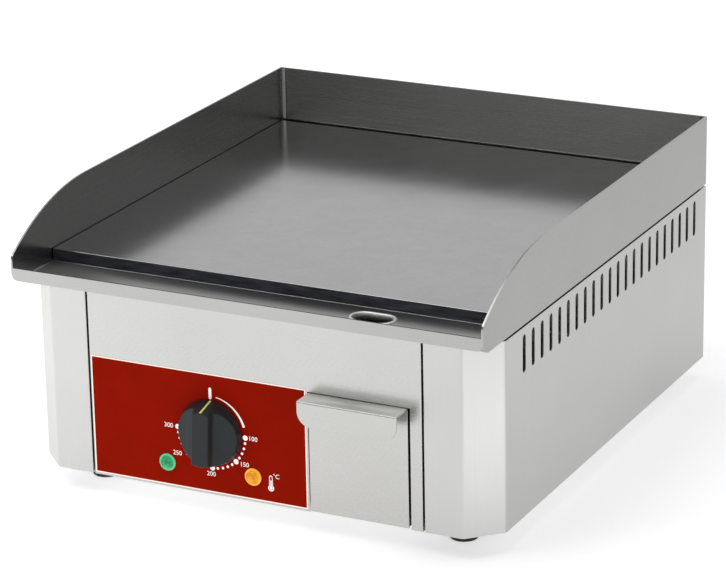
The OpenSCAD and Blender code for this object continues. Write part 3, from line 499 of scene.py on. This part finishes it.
nodeFinishes = {
    "sideSteel": ["left_side_panel", "right_side_panel"],
    "frontSteel": ["front_panel", "rear_panel", "rear_rail"],
    "guardSteel": ["splash_pan", "drain_spout"],
    "drawerSteel": ["drawer_front"],
    "insideSteel": ["drawer_box", "base_plate"],
    "plateSteel": ["griddle_plate"],
    # The support frame is black so the gap under the pan reads dark: painted shade
    "paintedShadeBlack": ["support_frame"],
    "zincPlate": [
        "plate_studs", "front_clamp_bar", "rear_clamp_bar", "clamp_nuts", "thermostat_shaft",
        "thermostat_screws", "bulb_clips", "left_drawer_guide", "right_drawer_guide",
        "drawer_stop", "bonding_stud", "bonding_nut", "foot_screws", "foot_nuts",
        "rear_panel_screws", "base_screws",
    ],
    "oxidisedSheath": ["left_heating_element", "right_heating_element"],
    "brass": ["element_terminals"],
    "copper": ["sensor_bulb", "capillary_tube"],
    "shieldSheet": ["heat_shield"],
    "mineralWool": ["insulation_blanket"],
    "blackPhenolic": ["thermostat_body"],
    "porcelain": ["safety_cutout", "terminal_block"],
    "redPlate": ["control_overlay"],
    "knobPlastic": ["control_knob"],
    "yellowInlay": ["knob_pointer"],
    "greenLens": ["green_lens"],
    "amberLens": ["amber_lens"],
    "lampPlastic": ["green_lamp_body", "amber_lamp_body"],
    "sleeveBrown": ["supply_leads"],
    "sleeveWhite": ["element_leads"],
    "sleeveGrey": ["lamp_leads"],
    "blackNylon": ["cable_gland", "gland_cap", "gland_locknut"],
    "sealRubber": ["gland_seal"],
    "footRubber": ["front_left_foot", "front_right_foot", "rear_left_foot", "rear_right_foot"],
}

finishOf = {node: name for name, nodes in nodeFinishes.items() for node in nodes}
bodyOf = {
    node: body for body, nodes in frame["record"]["behaviour"]["bodies"].items() for node in nodes
}

for nodeName, nodeObject in frame["nodes"].items():
    nodeObject.data.materials.clear()
    nodeObject.data.materials.append(finish[finishOf[nodeName]])
print("finishes: %d materials" % len(finish))

# ---- helpers for the pieces ----


def pieceFrom(mesh, name):
    piece = bpy.data.objects.new(name, mesh)
    scene.collection.objects.link(piece)
    return piece


def closeMesh(bm, name):
    bmesh.ops.recalc_face_normals(bm, faces=bm.faces)
    mesh = bpy.data.meshes.new(name)
    bm.to_mesh(mesh)
    bm.free()
    mesh.polygons.foreach_set("use_smooth", [True] * len(mesh.polygons))
    return mesh


def closePiece(bm, name):
    return pieceFrom(closeMesh(bm, name), name)


def weighNormals(piece):
    weighted = piece.modifiers.new("normals", "WEIGHTED_NORMAL")
    weighted.weight = 100
    weighted.keep_sharp = False


def settle(piece, body, finishName=None, replacing=()):
    if finishName:
        piece.data.materials.clear()
        piece.data.materials.append(finish[finishName])
    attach(piece, body)
    if replacing:
        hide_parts(*replacing)
    return piece


def merged(mesh, gap=0.000003):
    bm = bmesh.new()
    bm.from_mesh(mesh)
    bmesh.ops.remove_doubles(bm, verts=bm.verts, dist=gap)
    return bm


# A copy of a CAD node with bent folds and softened edges; folds is a list of (test, radius)
def softened(node, name, width, folds=(), steps=2):
    bm = merged(frame["nodes"][node].data)
    bmesh.ops.dissolve_limit(
        bm, angle_limit=radians(0.6), verts=bm.verts, edges=bm.edges, delimit={"NORMAL"}
    )
    for test, radius in folds:
        picked = [e for e in bm.edges if len(e.link_faces) == 2 and test(e.verts[0].co, e.verts[1].co)]
        bmesh.ops.bevel(
            bm, geom=picked, offset=radius, segments=4, profile=0.5, affect="EDGES", clamp_overlap=True
        )
    piece = closePiece(bm, name)
    bevel = piece.modifiers.new("edges", "BEVEL")
    bevel.width = width
    bevel.segments = steps
    bevel.limit_method = "ANGLE"
    bevel.angle_limit = radians(32)
    weighNormals(piece)
    return settle(piece, bodyOf[node], finishOf[node], [node])


def joinRings(bm, first, second):
    for i in range(len(first)):
        j = (i + 1) % len(first)
        bm.faces.new((first[i], first[j], second[j], second[i]))


# Rectangular bar; spans are (from, to) along X, Y and Z
def addBar(bm, spans):
    for vert in bmesh.ops.create_cube(bm, size=1.0)["verts"]:
        vert.co = Vector([span[1] if c > 0 else span[0] for c, span in zip(vert.co, spans)])


def near(value, target, slack=0.00005):
    return abs(value - target) < slack


# Centres of the separate solids in a node, in a fixed order
def islandCentres(node):
    bm = merged(frame["nodes"][node].data)
    centres, seen = [], set()
    for start in bm.verts:
        if start in seen:
            continue
        island, queue = [], [start]
        seen.add(start)
        while queue:
            vert = queue.pop()
            island.append(vert.co.copy())
            for edge in vert.link_edges:
                other = edge.other_vert(vert)
                if other not in seen:
                    seen.add(other)
                    queue.append(other)
        lows = [min(p[i] for p in island) for i in range(3)]
        highs = [max(p[i] for p in island) for i in range(3)]
        centres.append((Vector(lows) + Vector(highs)) / 2)
    bm.free()
    return sorted(centres, key=lambda p: tuple(round(c, 5) for c in p))


def newTree(name, sizes, others):
    tree = bpy.data.node_groups.new(name, "GeometryNodeTree")
    tree.interface.new_socket("Geometry", in_out="INPUT", socket_type="NodeSocketGeometry")
    sockets = {}
    for label, kind in [(size, "Float") for size in sizes] + others:
        socket = tree.interface.new_socket(label, in_out="INPUT", socket_type="NodeSocket" + kind)
        sockets[label] = socket.identifier
    tree.interface.new_socket("Geometry", in_out="OUTPUT", socket_type="NodeSocketGeometry")
    return tree, tree.nodes.new("NodeGroupInput"), tree.nodes.new("NodeGroupOutput"), sockets


def endTree(tree, geometry, material, leave):
    real = addNode(tree, "GeometryNodeRealizeInstances", {0: geometry})
    dressed = addNode(
        tree, "GeometryNodeSetMaterial", {"Geometry": real.outputs[0], "Material": material}
    )
    tree.links.new(dressed.outputs[0], leave.inputs[0])


# Runs a tree on a guide mesh and keeps the result as a plain mesh
def grown(tree, sockets, name, values, guideMesh=None):
    guide = pieceFrom(guideMesh or bpy.data.meshes.new(name + "Guide"), name + "Guide")
    modifier = guide.modifiers.new("shape", "NODES")
    modifier.node_group = tree
    for label, value in values.items():
        modifier[sockets[label]] = value
    shaped = guide.evaluated_get(bpy.context.evaluated_depsgraph_get())
    mesh = bpy.data.meshes.new_from_object(shaped)
    bpy.data.objects.remove(guide)
    mesh.name = name
    return pieceFrom(mesh, name)


def pointMesh(name, points):
    mesh = bpy.data.meshes.new(name)
    mesh.from_pydata([tuple(p) for p in points], [], [])
    return mesh


# ---- casing ----

casingShape = {
    "edge": 0.00025, "foldOutside": 0.0018, "foldAtGap": 0.0009, "leastHeight": 0.05,
    "slantedCorner": 0.0245,
}


def buildCasing():
    sideLow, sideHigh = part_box("right_side_panel")
    frontLow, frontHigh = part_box("front_panel")
    cut, least = casingShape["slantedCorner"], casingShape["leastHeight"]

    def outerFold(a, b):
        for v in (a, b):
            x = abs(v.x)
            onFront = near(v.y, sideLow.y) and near(x, sideHigh.x - cut)
            onSide = near(x, sideHigh.x) and near(v.y, sideLow.y + cut)
            if not (onFront or onSide):
                return False
        return near(a.x, b.x) and abs(a.z - b.z) > least

    # Upright folds on the front plane y, this far out to both sides
    def foldAt(y, x):
        return lambda a, b: (
            near(a.y, y) and near(b.y, y) and near(a.x, b.x)
            and near(abs(a.x), x) and abs(a.z - b.z) > least
        )

    edge, fold, gap = (casingShape[key] for key in ("edge", "foldOutside", "foldAtGap"))
    for side in ("left", "right"):
        folds = [(outerFold, fold), (foldAt(sideLow.y, sideLow.x), gap)]
        softened(side + "_side_panel", side + "SidePanel", edge, folds)
    softened("front_panel", "frontPanel", edge, [(foldAt(frontLow.y, frontHigh.x), gap)])
    softened("rear_panel", "rearPanel", edge)


buildCasing()
print("casing: four panels with bent folds")

# ---- splash guard, gutter and plate ----

guardShape = {
    "edge": 0.0005, "cove": 0.0016, "cornerCove": 0.004, "bead": 0.0002, "crest": 0.0007,
    "fasciaReach": 0.015, "wall": 0.0015, "gutterFront": 0.0095,
    # crest strip: a dark strip along the lip's crest, painted shade standing in for the shadow line there
    "crestShade": (0.0008, 0.0016, 0.0008, 0.00012),  # front and back from the face, drop, rise
}
plateShape = {"edge": 0.0007}
drainShape = {
    "rim": 0.002, "wall": 0.001, "rimOut": 0.0026, "rimRise": 0.0012, "rimIn": 0.0010,
    "lipDrop": 0.0050, "steps": 14,
}


# Concave strip that fills the inside corner along a line; a and b point away from the corner
def addCove(bm, start, end, a, b, radius, steps=6):
    start, end, a, b = Vector(start), Vector(end), Vector(a), Vector(b)
    rings = []
    for base in (start, end):
        ring = [bm.verts.new(base - 0.0002 * (a + b))]
        for i in range(steps + 1):
            turn = pi / 2 * i / steps
            offset = a * radius * (1 - sin(turn)) + b * radius * (1 - cos(turn))
            ring.append(bm.verts.new(base + offset))
        rings.append(ring)
    joinRings(bm, *rings)
    bm.faces.new(rings[0])
    bm.faces.new(rings[1])


def buildGuard():
    low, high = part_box("splash_pan")
    plateLow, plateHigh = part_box("griddle_plate")
    wall = guardShape["wall"]
    floorTop = plateLow.z
    corners = [v.co for v in frame["nodes"]["splash_pan"].data.vertices]
    crestZ = max(c.z for c in corners if near(c.y, low.y) and c.z < low.z + guardShape["fasciaReach"])

    def crestFold(a, b):
        return near(a.y, low.y) and near(b.y, low.y) and near(a.z, crestZ) and near(b.z, crestZ)

    softened("splash_pan", "splashGuard", guardShape["edge"], [(crestFold, guardShape["crest"])])
    softened("griddle_plate", "griddlePlate", plateShape["edge"], steps=3)
    bm = bmesh.new()
    x, y = high.x - wall, high.y - wall
    top = high.z - 0.0006
    cove, corner, bead = guardShape["cove"], guardShape["cornerCove"], guardShape["bead"]
    gutterFront = low.y + guardShape["gutterFront"]
    for side in (-1, 1):
        addCove(
            bm, (side * x, gutterFront, floorTop), (side * x, plateLow.y, floorTop),
            (-side, 0, 0), (0, 0, 1), cove,
        )
        addCove(bm, (side * x, y, floorTop), (side * x, y, top), (-side, 0, 0), (0, -1, 0), corner)
    addCove(
        bm, (-plateHigh.x, plateLow.y, floorTop), (plateHigh.x, plateLow.y, floorTop),
        (0, -1, 0), (0, 0, 1), bead,
    )
    # Dark strip along the lip's crest: painted shade in place of the crest's shadow line
    shadeFront, shadeBack, shadeDrop, shadeRise = guardShape["crestShade"]
    crestShade = bmesh.new()
    addBar(
        crestShade, [(-x, x), (low.y + shadeFront, low.y + shadeBack), (crestZ - shadeDrop, crestZ + shadeRise)]
    )
    bmesh.ops.bevel(
        crestShade, geom=list(crestShade.edges), offset=0.00008, segments=2, profile=0.5, affect="EDGES"
    )
    lipShadeStrip = closePiece(crestShade, "lipShadeStrip")
    settle(lipShadeStrip, "chassis", "paintedShadeBlack")
    welds = closePiece(bm, "cornerWelds")
    weighNormals(welds)
    settle(welds, "chassis", "guardSteel")


def obround(halfLength, halfWidth, grow, count):
    points = []
    for side in (1, -1):
        for i in range(count + 1):
            turn = pi / 2 * side - pi * i / count
            r = halfWidth + grow
            points.append((side * (halfLength - halfWidth) + r * cos(turn), r * sin(turn)))
    return points


def buildDrain():
    low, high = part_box("drain_spout")
    around = drainShape["rim"] + drainShape["wall"]
    centre = (low + high) / 2
    halfLength = (high.x - low.x) / 2 - around
    halfWidth = (high.y - low.y) / 2 - around
    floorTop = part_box("griddle_plate")[0].z
    out, rise, drop, inside = (drainShape[key] for key in ("rimOut", "rimRise", "lipDrop", "rimIn"))
    profile = [
        (out, -0.0004), (out, 0.0), (out * 0.75, rise * 0.6), (out * 0.4, rise), (0.0, rise * 0.9),
        (-inside * 0.6, rise * 0.45), (-inside, -0.0006), (-inside, -0.0030), (-0.0005, -drop),
        (-0.0002, -drop), (0.0, -0.0020),
    ]
    bm = bmesh.new()
    rings = []
    for grow, height in profile:
        outline = obround(halfLength, halfWidth, grow, drainShape["steps"])
        z = floorTop + height
        rings.append([bm.verts.new((centre.x + px, centre.y + py, z)) for px, py in outline])
    for i, ring in enumerate(rings):
        joinRings(bm, ring, rings[(i + 1) % len(rings)])
    # The rim takes the lighter steel, a painted highlight
    settle(closePiece(bm, "drainRim"), "chassis", "drainHighlightSteel")


buildGuard()
buildDrain()
print("guard: walls, welds, plate and drain rim")

# ---- drip drawer ----

# The last five entries place a dark bar in the gap at the drawer's right edge, painted shade for the shadow in
# that gap
drawerShape = {
    "edge": 0.00022, "fold": 0.0013,
    "gapShadeDepth": 0.010, "gapShadeFoot": 0.0012, "gapShadeHeight": 0.009, "gapShadeThick": 0.001, "gapShadeEdge": 0.0002,
}


def buildDrawer():
    low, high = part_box("drawer_front")

    def handleFold(a, b):
        return all(near(v.y, low.y) and near(v.z, high.z) for v in (a, b))

    softened("drawer_front", "drawerFront", drawerShape["edge"], [(handleFold, drawerShape["fold"])])
    softened("drawer_box", "drawerBox", drawerShape["edge"])
    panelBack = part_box("front_panel")[0].y + 0.001
    # Dark bar in the gap beside the drawer's right edge: painted shade
    bm = bmesh.new()
    addBar(
        bm,
        [
            (high.x - drawerShape["gapShadeThick"], high.x - 0.0001),
            (panelBack, panelBack + drawerShape["gapShadeDepth"]),
            (low.z + drawerShape["gapShadeFoot"], low.z + drawerShape["gapShadeHeight"]),
        ],
    )
    trim = closePiece(bm, "drawerGapShade")
    bevel = trim.modifiers.new("edges", "BEVEL")
    bevel.width = drawerShape["gapShadeEdge"]
    bevel.segments = 2
    weighNormals(trim)
    settle(trim, "drawer", "paintedShadeBlack")


buildDrawer()
print("drawer: front with folded handle, box")

# ---- control plate and its printed scale ----

dialShape = {
    "dotRing": 0.0295,
    "majorDot": 0.00215,
    "minorDot": 0.0011,
    "dotCount": 21,
    "ink": 0.00006,
    "tick": (0.0271, 0.0366, 0.0025),
    "arc": (80.5, 16.5, 0.0007, 0.0019, 0.0298),
    "digits": {
        "100": (0.0361, 0.0), "150": (0.0281, -0.0223), "200": (-0.0012, -0.0346),
        "250": (-0.0306, -0.0221), "300": (-0.0376, 0.0),
    },
    "digitHeight": 0.0039,
    "degrees": (0.0553, -0.0277, 0.0037),  # place and height
    "thermometer": (0.0507, -0.0378, 0.0129),
    "plateEdge": 0.00012,
}
knobJoint = [j for j in frame["joints"] if j["name"] == "knob_turn"][0]
dialCentre = Vector(knobJoint["pos_m"])
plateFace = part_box("control_overlay")[0].y


def dotTree():
    sizes = ["Ring Radius", "Dot Radius", "Major Factor", "Thickness"]
    others = [("Count", "Int"), ("Centre", "Vector"), ("Material", "Material")]
    tree, enter, leave, sockets = newTree("scaleDots", sizes, others)
    given = enter.outputs
    arc = addNode(
        tree,
        "GeometryNodeCurveArc",
        {
            "Resolution": given["Count"], "Radius": given["Ring Radius"],
            "Start Angle": pi, "Sweep Angle": pi,
        },
        mode="RADIUS",
    )
    along = {"Curve": arc.outputs["Curve"]}
    points = addNode(tree, "GeometryNodeCurveToPoints", along, mode="EVALUATED")
    disc = {"Vertices": 20, "Radius": given["Dot Radius"], "Depth": given["Thickness"]}
    dot = addNode(tree, "GeometryNodeMeshCylinder", disc)
    step = mathNode(tree, "MODULO", addNode(tree, "GeometryNodeInputIndex").outputs[0], 5.0)
    isMajor = mathNode(tree, "LESS_THAN", step, 0.5)
    size = rescale(tree, isMajor, 0.0, 1.0, 1.0, given["Major Factor"])
    scale = addNode(tree, "ShaderNodeCombineXYZ", {"X": size, "Y": size, "Z": 1.0})
    spread = {"Points": points.outputs["Points"], "Instance": dot.outputs["Mesh"]}
    placed = addNode(tree, "GeometryNodeInstanceOnPoints", {**spread, "Scale": scale.outputs[0]})
    upright = {"Rotation": Euler((pi / 2, 0, 0)), "Translation": given["Centre"]}
    stood = addNode(tree, "GeometryNodeTransform", {"Geometry": placed.outputs[0], **upright})
    endTree(tree, stood.outputs[0], given["Material"], leave)
    return tree, sockets


# Corners of an outline in dial coordinates, on the front or the back of the ink layer
def inkVerts(bm, outline, side):
    y = plateFace + side * dialShape["ink"] / 2
    return [bm.verts.new((dialCentre.x + px, y, dialCentre.z + pz)) for px, pz in outline]


# Flat shape from an outline in dial coordinates, one ink layer thick
def addInk(bm, outline):
    front, back = inkVerts(bm, outline, -1), inkVerts(bm, outline, 1)
    bm.faces.new(front)
    bm.faces.new(back[::-1])
    joinRings(bm, front, back)


# Points on an arc round (x, z), at angles in degrees from the X direction
def arcPoints(x, z, radius, degrees):
    turns = [radians(a) for a in degrees]
    return [(x + radius * cos(turn), z + radius * sin(turn)) for turn in turns]


def roundBar(x, bottom, top, width):
    r = width / 2
    halfTurn = [180 * i / 8 for i in range(9)]
    ends = arcPoints(x, top - r, r, halfTurn)
    return ends + arcPoints(x, bottom + r, r, [180 + a for a in halfTurn])


def addThermometer(bm, x, z, height):
    stem, bulb, line = height * 0.11, height * 0.2, height * 0.045
    outline = arcPoints(x, z, bulb, range(-230, 51, 10))
    outline += arcPoints(x, z + height * 0.7, stem, range(0, 181, 20))
    inner = [
        (x + (px - x) * 0.66, z + (pz - z) * (0.66 if pz < z + bulb else 0.93)) for px, pz in outline
    ]
    loops = ((outline, -1), (outline, 1), (inner, 1), (inner, -1))
    rings = [inkVerts(bm, loop, side) for loop, side in loops]
    for i, ring in enumerate(rings):
        joinRings(bm, ring, rings[(i + 1) % 4])
    addInk(bm, arcPoints(x, z, bulb * 0.5, range(0, 360, 20)))
    top = z + height * 0.5
    addInk(bm, [(x - line, z), (x + line, z), (x + line, top), (x - line, top)])


def printedText(name, words, x, z, height):
    curve = bpy.data.curves.new(name, "FONT")
    curve.body = words
    curve.align_x = "CENTER"
    curve.align_y = "CENTER"
    curve.size = height / 0.73
    curve.extrude = dialShape["ink"] / 2
    curve.resolution_u = 3
    text = pieceFrom(curve, name + "Text")
    shaped = text.evaluated_get(bpy.context.evaluated_depsgraph_get())
    mesh = bpy.data.meshes.new_from_object(shaped)
    bpy.data.objects.remove(text)
    mesh.transform(
        Matrix.Translation((dialCentre.x + x, plateFace, dialCentre.z + z))
        @ Matrix.Rotation(pi / 2, 4, "X")
    )
    return mesh


def joinMeshes(name, meshes):
    bm = bmesh.new()
    for mesh in meshes:
        bm.from_mesh(mesh)
    joined = bpy.data.meshes.new(name)
    bm.to_mesh(joined)
    bm.free()
    return joined


def buildControlPlate():
    softened("control_overlay", "controlPlate", dialShape["plateEdge"])
    tree, sockets = dotTree()
    dots = grown(
        tree,
        sockets,
        "scaleDots",
        {
            "Ring Radius": dialShape["dotRing"], "Dot Radius": dialShape["minorDot"],
            "Major Factor": dialShape["majorDot"] / dialShape["minorDot"],
            "Count": dialShape["dotCount"], "Thickness": dialShape["ink"],
            "Centre": (dialCentre.x, plateFace, dialCentre.z), "Material": finish["whiteInk"],
        },
    )
    settle(dots, "chassis")
    bm = bmesh.new()
    inner, outer, width = dialShape["tick"]
    addInk(bm, roundBar(0.0, inner, outer, width))
    first, last, thin, thick, ring = dialShape["arc"]
    outside, inside = [], []
    for i in range(33):
        angle = first + (last - first) * i / 32
        half = (thin + (thick - thin) * i / 32) / 2
        outside += arcPoints(0, 0, ring + half, [angle])
        inside += arcPoints(0, 0, ring - half, [angle])
    for i in range(32):
        addInk(bm, [outside[i], outside[i + 1], inside[i + 1], inside[i]])
    addThermometer(bm, *dialShape["thermometer"])
    marks = [closeMesh(bm, "scaleLines")]
    for words, (x, z) in dialShape["digits"].items():
        marks.append(printedText("digits" + words, words, x, z, dialShape["digitHeight"]))
    marks.append(printedText("degrees", "°C", *dialShape["degrees"]))
    scale = pieceFrom(joinMeshes("scaleMarks", marks), "scaleMarks")
    settle(scale, "chassis", "whiteInk")


buildControlPlate()
print("control plate: scale, digits and thermometer")

# ---- knob ----

knobShape = {
    "columns": 240,
    "baseRadius": 0.027,
    "faceRadius": 0.0222,
    "gripHalf": 0.0072,
    "skirt": 0.0055,
    "scoop": (
        (0.0180, 0.0), (0.0150, 0.075), (0.0110, 0.19), (0.0070, 0.32), (0.0040, 0.41), (0.0024, 0.47),
        (0.0015, 0.54), (0.0010, 0.63), (0.0006, 0.76), (0.0003, 0.90), (0.0, 1.0),
    ),
    "restTurn": 2.6,
    "edgeRound": 0.0009,
    "cornerRound": 0.00055,
    "hollowRadius": 0.0225,
    "hollowDepth": 0.0027,
}


def buildKnob():
    low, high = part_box("control_knob")
    depth = high.y - low.y
    k = knobShape
    taper = (k["baseRadius"] - k["faceRadius"]) / depth

    def ring(bm, height, circle, half=None):
        verts = []
        for i in range(k["columns"]):
            turn = 2 * pi * i / k["columns"]
            shown = turn - radians(k["restTurn"])
            r = circle
            if half is not None and abs(cos(turn)) > 0.02:
                soft, reaches = k["cornerRound"], (circle, half / abs(cos(turn)))
                r = half - soft * log(sum(exp(-(reach - half) / soft) for reach in reaches))
            x, z = dialCentre.x + r * cos(shown), dialCentre.z + r * sin(shown)
            verts.append(bm.verts.new((x, high.y - height, z)))
        return verts

    bm = bmesh.new()
    rings = [
        ring(bm, k["hollowDepth"], k["hollowRadius"]),
        ring(bm, 0.0, k["hollowRadius"]),
        ring(bm, 0.0, k["baseRadius"] - 0.0005),
        ring(bm, 0.0002, k["baseRadius"] - 0.00015),
        ring(bm, 0.0005, k["baseRadius"] - 0.00015),
    ]
    for i in range(1, 6):
        height = k["skirt"] * i / 5
        rings.append(ring(bm, height, k["baseRadius"] - taper * height))
    top = depth - k["edgeRound"]
    span = top - k["skirt"]
    for (wide, shallow), (narrow, tall) in zip(k["scoop"], k["scoop"][1:]):
        for i in range(4):
            across = wide + (narrow - wide) * i / 4
            height = k["skirt"] + span * (shallow + (tall - shallow) * i / 4)
            circle = k["baseRadius"] - taper * height
            rings.append(ring(bm, height + 0.00002, circle, k["gripHalf"] + across))
    for i in range(1, 5):
        turn = pi / 2 * i / 4
        height = top + k["edgeRound"] * sin(turn)
        inset = k["edgeRound"] * (1 - cos(turn))
        rings.append(ring(bm, height, k["baseRadius"] - taper * top - inset, k["gripHalf"] - inset))
    for before, after in zip(rings, rings[1:]):
        joinRings(bm, before, after)
    bm.faces.new(rings[0])
    bm.faces.new(rings[-1])
    knob = closePiece(bm, "controlKnob")
    weighNormals(knob)
    settle(knob, "knob", "knobPlastic", ["control_knob"])


buildKnob()
print("knob: tapered grip with scooped sides")

# ---- pilot lamps and feet ----

lensShape = {
    "trim": 0.0005, "rim": 0.0009, "groove": 0.0004, "flange": 0.0016, "stem": 0.0045, "steps": 48,
}
footShape = {
    "recess": 0.006, "hole": 0.0027, "hollow": 0.007, "firstRib": 0.0030,
    "ribs": 3, "ribDepth": 0.0007, "steps": 48,
}


# Closed solid turned about a line through the centre; profile is (radius, distance along the axis)
def turned(name, centre, axis, profile, steps):
    direction = Vector(axis)
    across = Vector((0, 0, 1)) if abs(direction.z) < 0.5 else Vector((1, 0, 0))
    aside = direction.cross(across)
    bm = bmesh.new()
    rings = []
    for radius, along in profile:
        base = Vector(centre) + direction * along
        turns = [2 * pi * i / steps for i in range(steps)] if radius > 1e-7 else [0.0]
        rings.append(
            [bm.verts.new(base + radius * (across * cos(a) + aside * sin(a))) for a in turns]
        )
    for before, after in zip(rings, rings[1:]):
        for i in range(steps):
            j = (i + 1) % steps
            if len(before) == 1:
                bm.faces.new((before[0], after[i], after[j]))
            elif len(after) == 1:
                bm.faces.new((before[i], before[j], after[0]))
            else:
                bm.faces.new((before[i], before[j], after[j], after[i]))
    return closePiece(bm, name)


def buildLens(node, name, finishName):
    low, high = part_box(node)
    centre = Vector(((low.x + high.x) / 2, plateFace, (low.z + high.z) / 2))
    outer = (high.x - low.x) / 2 - lensShape["trim"]
    stand = plateFace - low.y
    rim, groove, flange, stem = (lensShape[key] for key in ("rim", "groove", "flange", "stem"))
    profile = [
        (0.0, plateFace - high.y), (stem, plateFace - high.y), (stem, 0.0), (outer - 0.0002, 0.0),
        (outer, 0.0002), (outer, flange - 0.0006), (outer - 0.0002, flange - 0.0002),
        (outer - 0.0006, flange), (outer - rim, flange - 0.0001),
        (outer - rim - groove, flange - groove), (outer - rim - 2 * groove, flange),
    ]
    dome = outer - rim - 2 * groove
    for i in range(1, 13):
        turn = pi / 2 * i / 12
        profile.append((dome * cos(turn), flange + (stand - flange) * sin(turn)))
    profile[-1] = (0.0, stand)
    lens = turned(name, centre, (0, -1, 0), profile, lensShape["steps"])
    weighNormals(lens)
    settle(lens, "chassis", finishName, [node])


def buildFoot(node, name):
    low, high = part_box(node)
    centre = Vector(((low.x + high.x) / 2, (low.y + high.y) / 2, low.z))
    r = (high.x - low.x) / 2
    top = high.z - low.z
    recess, hole, hollow = (footShape[key] for key in ("recess", "hole", "hollow"))
    profile = [
        (recess, hollow), (recess, 0.0006), (recess + 0.0006, 0.0),
        (r - 0.0022, 0.0), (r - 0.0012, 0.0012),
    ]
    ribs, deep, start = (footShape[key] for key in ("ribs", "ribDepth", "firstRib"))
    pitch = (top - 2 * start) / ribs
    for i in range(ribs):
        z = start + pitch * i
        profile += [(r - deep, z), (r - 0.0001, z + 0.0006)]
        profile += [(r - 0.0001, z + pitch - 0.0012), (r - deep, z + pitch - 0.0006)]
    profile += [(r - deep, top - 0.0024), (r, top - 0.0018), (r, top - 0.0004), (r - 0.0004, top)]
    profile += [(hole, top), (hole, hollow)]
    foot = turned(name, centre, (0, 0, 1), profile + [profile[0]], footShape["steps"])
    foot.data = closeMesh(merged(foot.data, 0.000001), name)
    weighNormals(foot)
    settle(foot, "chassis", "footRubber", [node])


buildLens("green_lens", "greenLens", "greenLens")
buildLens("amber_lens", "amberLens", "amberLens")
for ends in ("front", "rear"):
    for side in ("left", "right"):
        buildFoot(ends + "_" + side + "_foot", ends + side.capitalize() + "Foot")
print("lamps and feet")

# ---- screws ----

screwShape = {
    "Head Radius": 0.0038, "Head Height": 0.0022, "Slot Width": 0.0011, "Slot Length": 0.0046,
    "Slot Depth": 0.0012, "Shank Radius": 0.002,
}


def screwTree():
    others = [("Turn", "Vector"), ("Material", "Material")]
    tree, enter, leave, sockets = newTree("screwHeads", [*screwShape, "Shank Length"], others)
    given = enter.outputs

    def raised(geometry, height):
        lift = addNode(tree, "ShaderNodeCombineXYZ", {"Z": height}).outputs[0]
        moved = addNode(tree, "GeometryNodeTransform", {"Geometry": geometry, "Translation": lift})
        return moved.outputs[0]

    head = addNode(
        tree,
        "GeometryNodeMeshCone",
        {
            "Vertices": 28, "Side Segments": 3, "Radius Bottom": given["Head Radius"],
            "Radius Top": mathNode(tree, "MULTIPLY", given["Head Radius"], 0.72),
            "Depth": given["Head Height"],
        },
    ).outputs["Mesh"]
    slotFloor = mathNode(tree, "SUBTRACT", given["Head Height"], given["Slot Depth"])
    cuts = []
    for sizes in (("Slot Length", "Slot Width"), ("Slot Width", "Slot Length")):
        size = addNode(
            tree, "ShaderNodeCombineXYZ", {"X": given[sizes[0]], "Y": given[sizes[1]], "Z": 0.004}
        )
        box = addNode(tree, "GeometryNodeMeshCube", {"Size": size.outputs[0]})
        cuts.append(raised(box.outputs["Mesh"], mathNode(tree, "ADD", slotFloor, 0.002)))
    rod = {"Vertices": 16, "Radius": given["Shank Radius"], "Depth": given["Shank Length"]}
    shank = addNode(tree, "GeometryNodeMeshCylinder", rod).outputs["Mesh"]
    shank = raised(shank, mathNode(tree, "MULTIPLY", given["Shank Length"], -0.5))
    recessed = addNode(tree, "GeometryNodeMeshBoolean", operation="DIFFERENCE", solver="EXACT")
    tree.links.new(head, recessed.inputs["Mesh 1"])
    for cut in cuts:
        tree.links.new(cut, recessed.inputs["Mesh 2"])
    screw = addNode(tree, "GeometryNodeJoinGeometry")
    tree.links.new(shank, screw.inputs[0])
    tree.links.new(recessed.outputs["Mesh"], screw.inputs[0])
    points = addNode(tree, "GeometryNodeMeshToPoints", {"Mesh": given["Geometry"]})
    placed = addNode(
        tree,
        "GeometryNodeInstanceOnPoints",
        {"Points": points.outputs[0], "Instance": screw.outputs[0], "Rotation": given["Turn"]},
    )
    endTree(tree, placed.outputs[0], given["Material"], leave)
    return tree, sockets


def buildScrews():
    tree, sockets = screwTree()
    seats = {
        "rear_panel_screws": ("rearScrews", Vector((0, 1, 0)), (-pi / 2, 0, 0)),
        "base_screws": ("baseScrews", Vector((0, 0, -1)), (pi, 0, 0)),
    }
    for node, (name, outward, turn) in seats.items():
        low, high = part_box(node)
        length = abs((high - low).dot(outward))
        headHeight = screwShape["Head Height"]
        lift = outward * (length / 2 - headHeight)
        seatMesh = pointMesh(name + "Points", [centre + lift for centre in islandCentres(node)])
        lengths = {"Shank Length": length - headHeight, "Turn": turn, "Material": finish["zincPlate"]}
        screws = grown(tree, sockets, name, {**screwShape, **lengths}, seatMesh)
        settle(screws, "chassis", None, [node])


buildScrews()
print("screws: rear panel and base")

for node, name, edge in (
    ("cable_gland", "cableGland", 0.0004), ("gland_cap", "glandCap", 0.0004),
    ("bonding_stud", "bondingStud", 0.0003), ("base_plate", "basePlate", 0.0002),
):
    softened(node, name, edge)
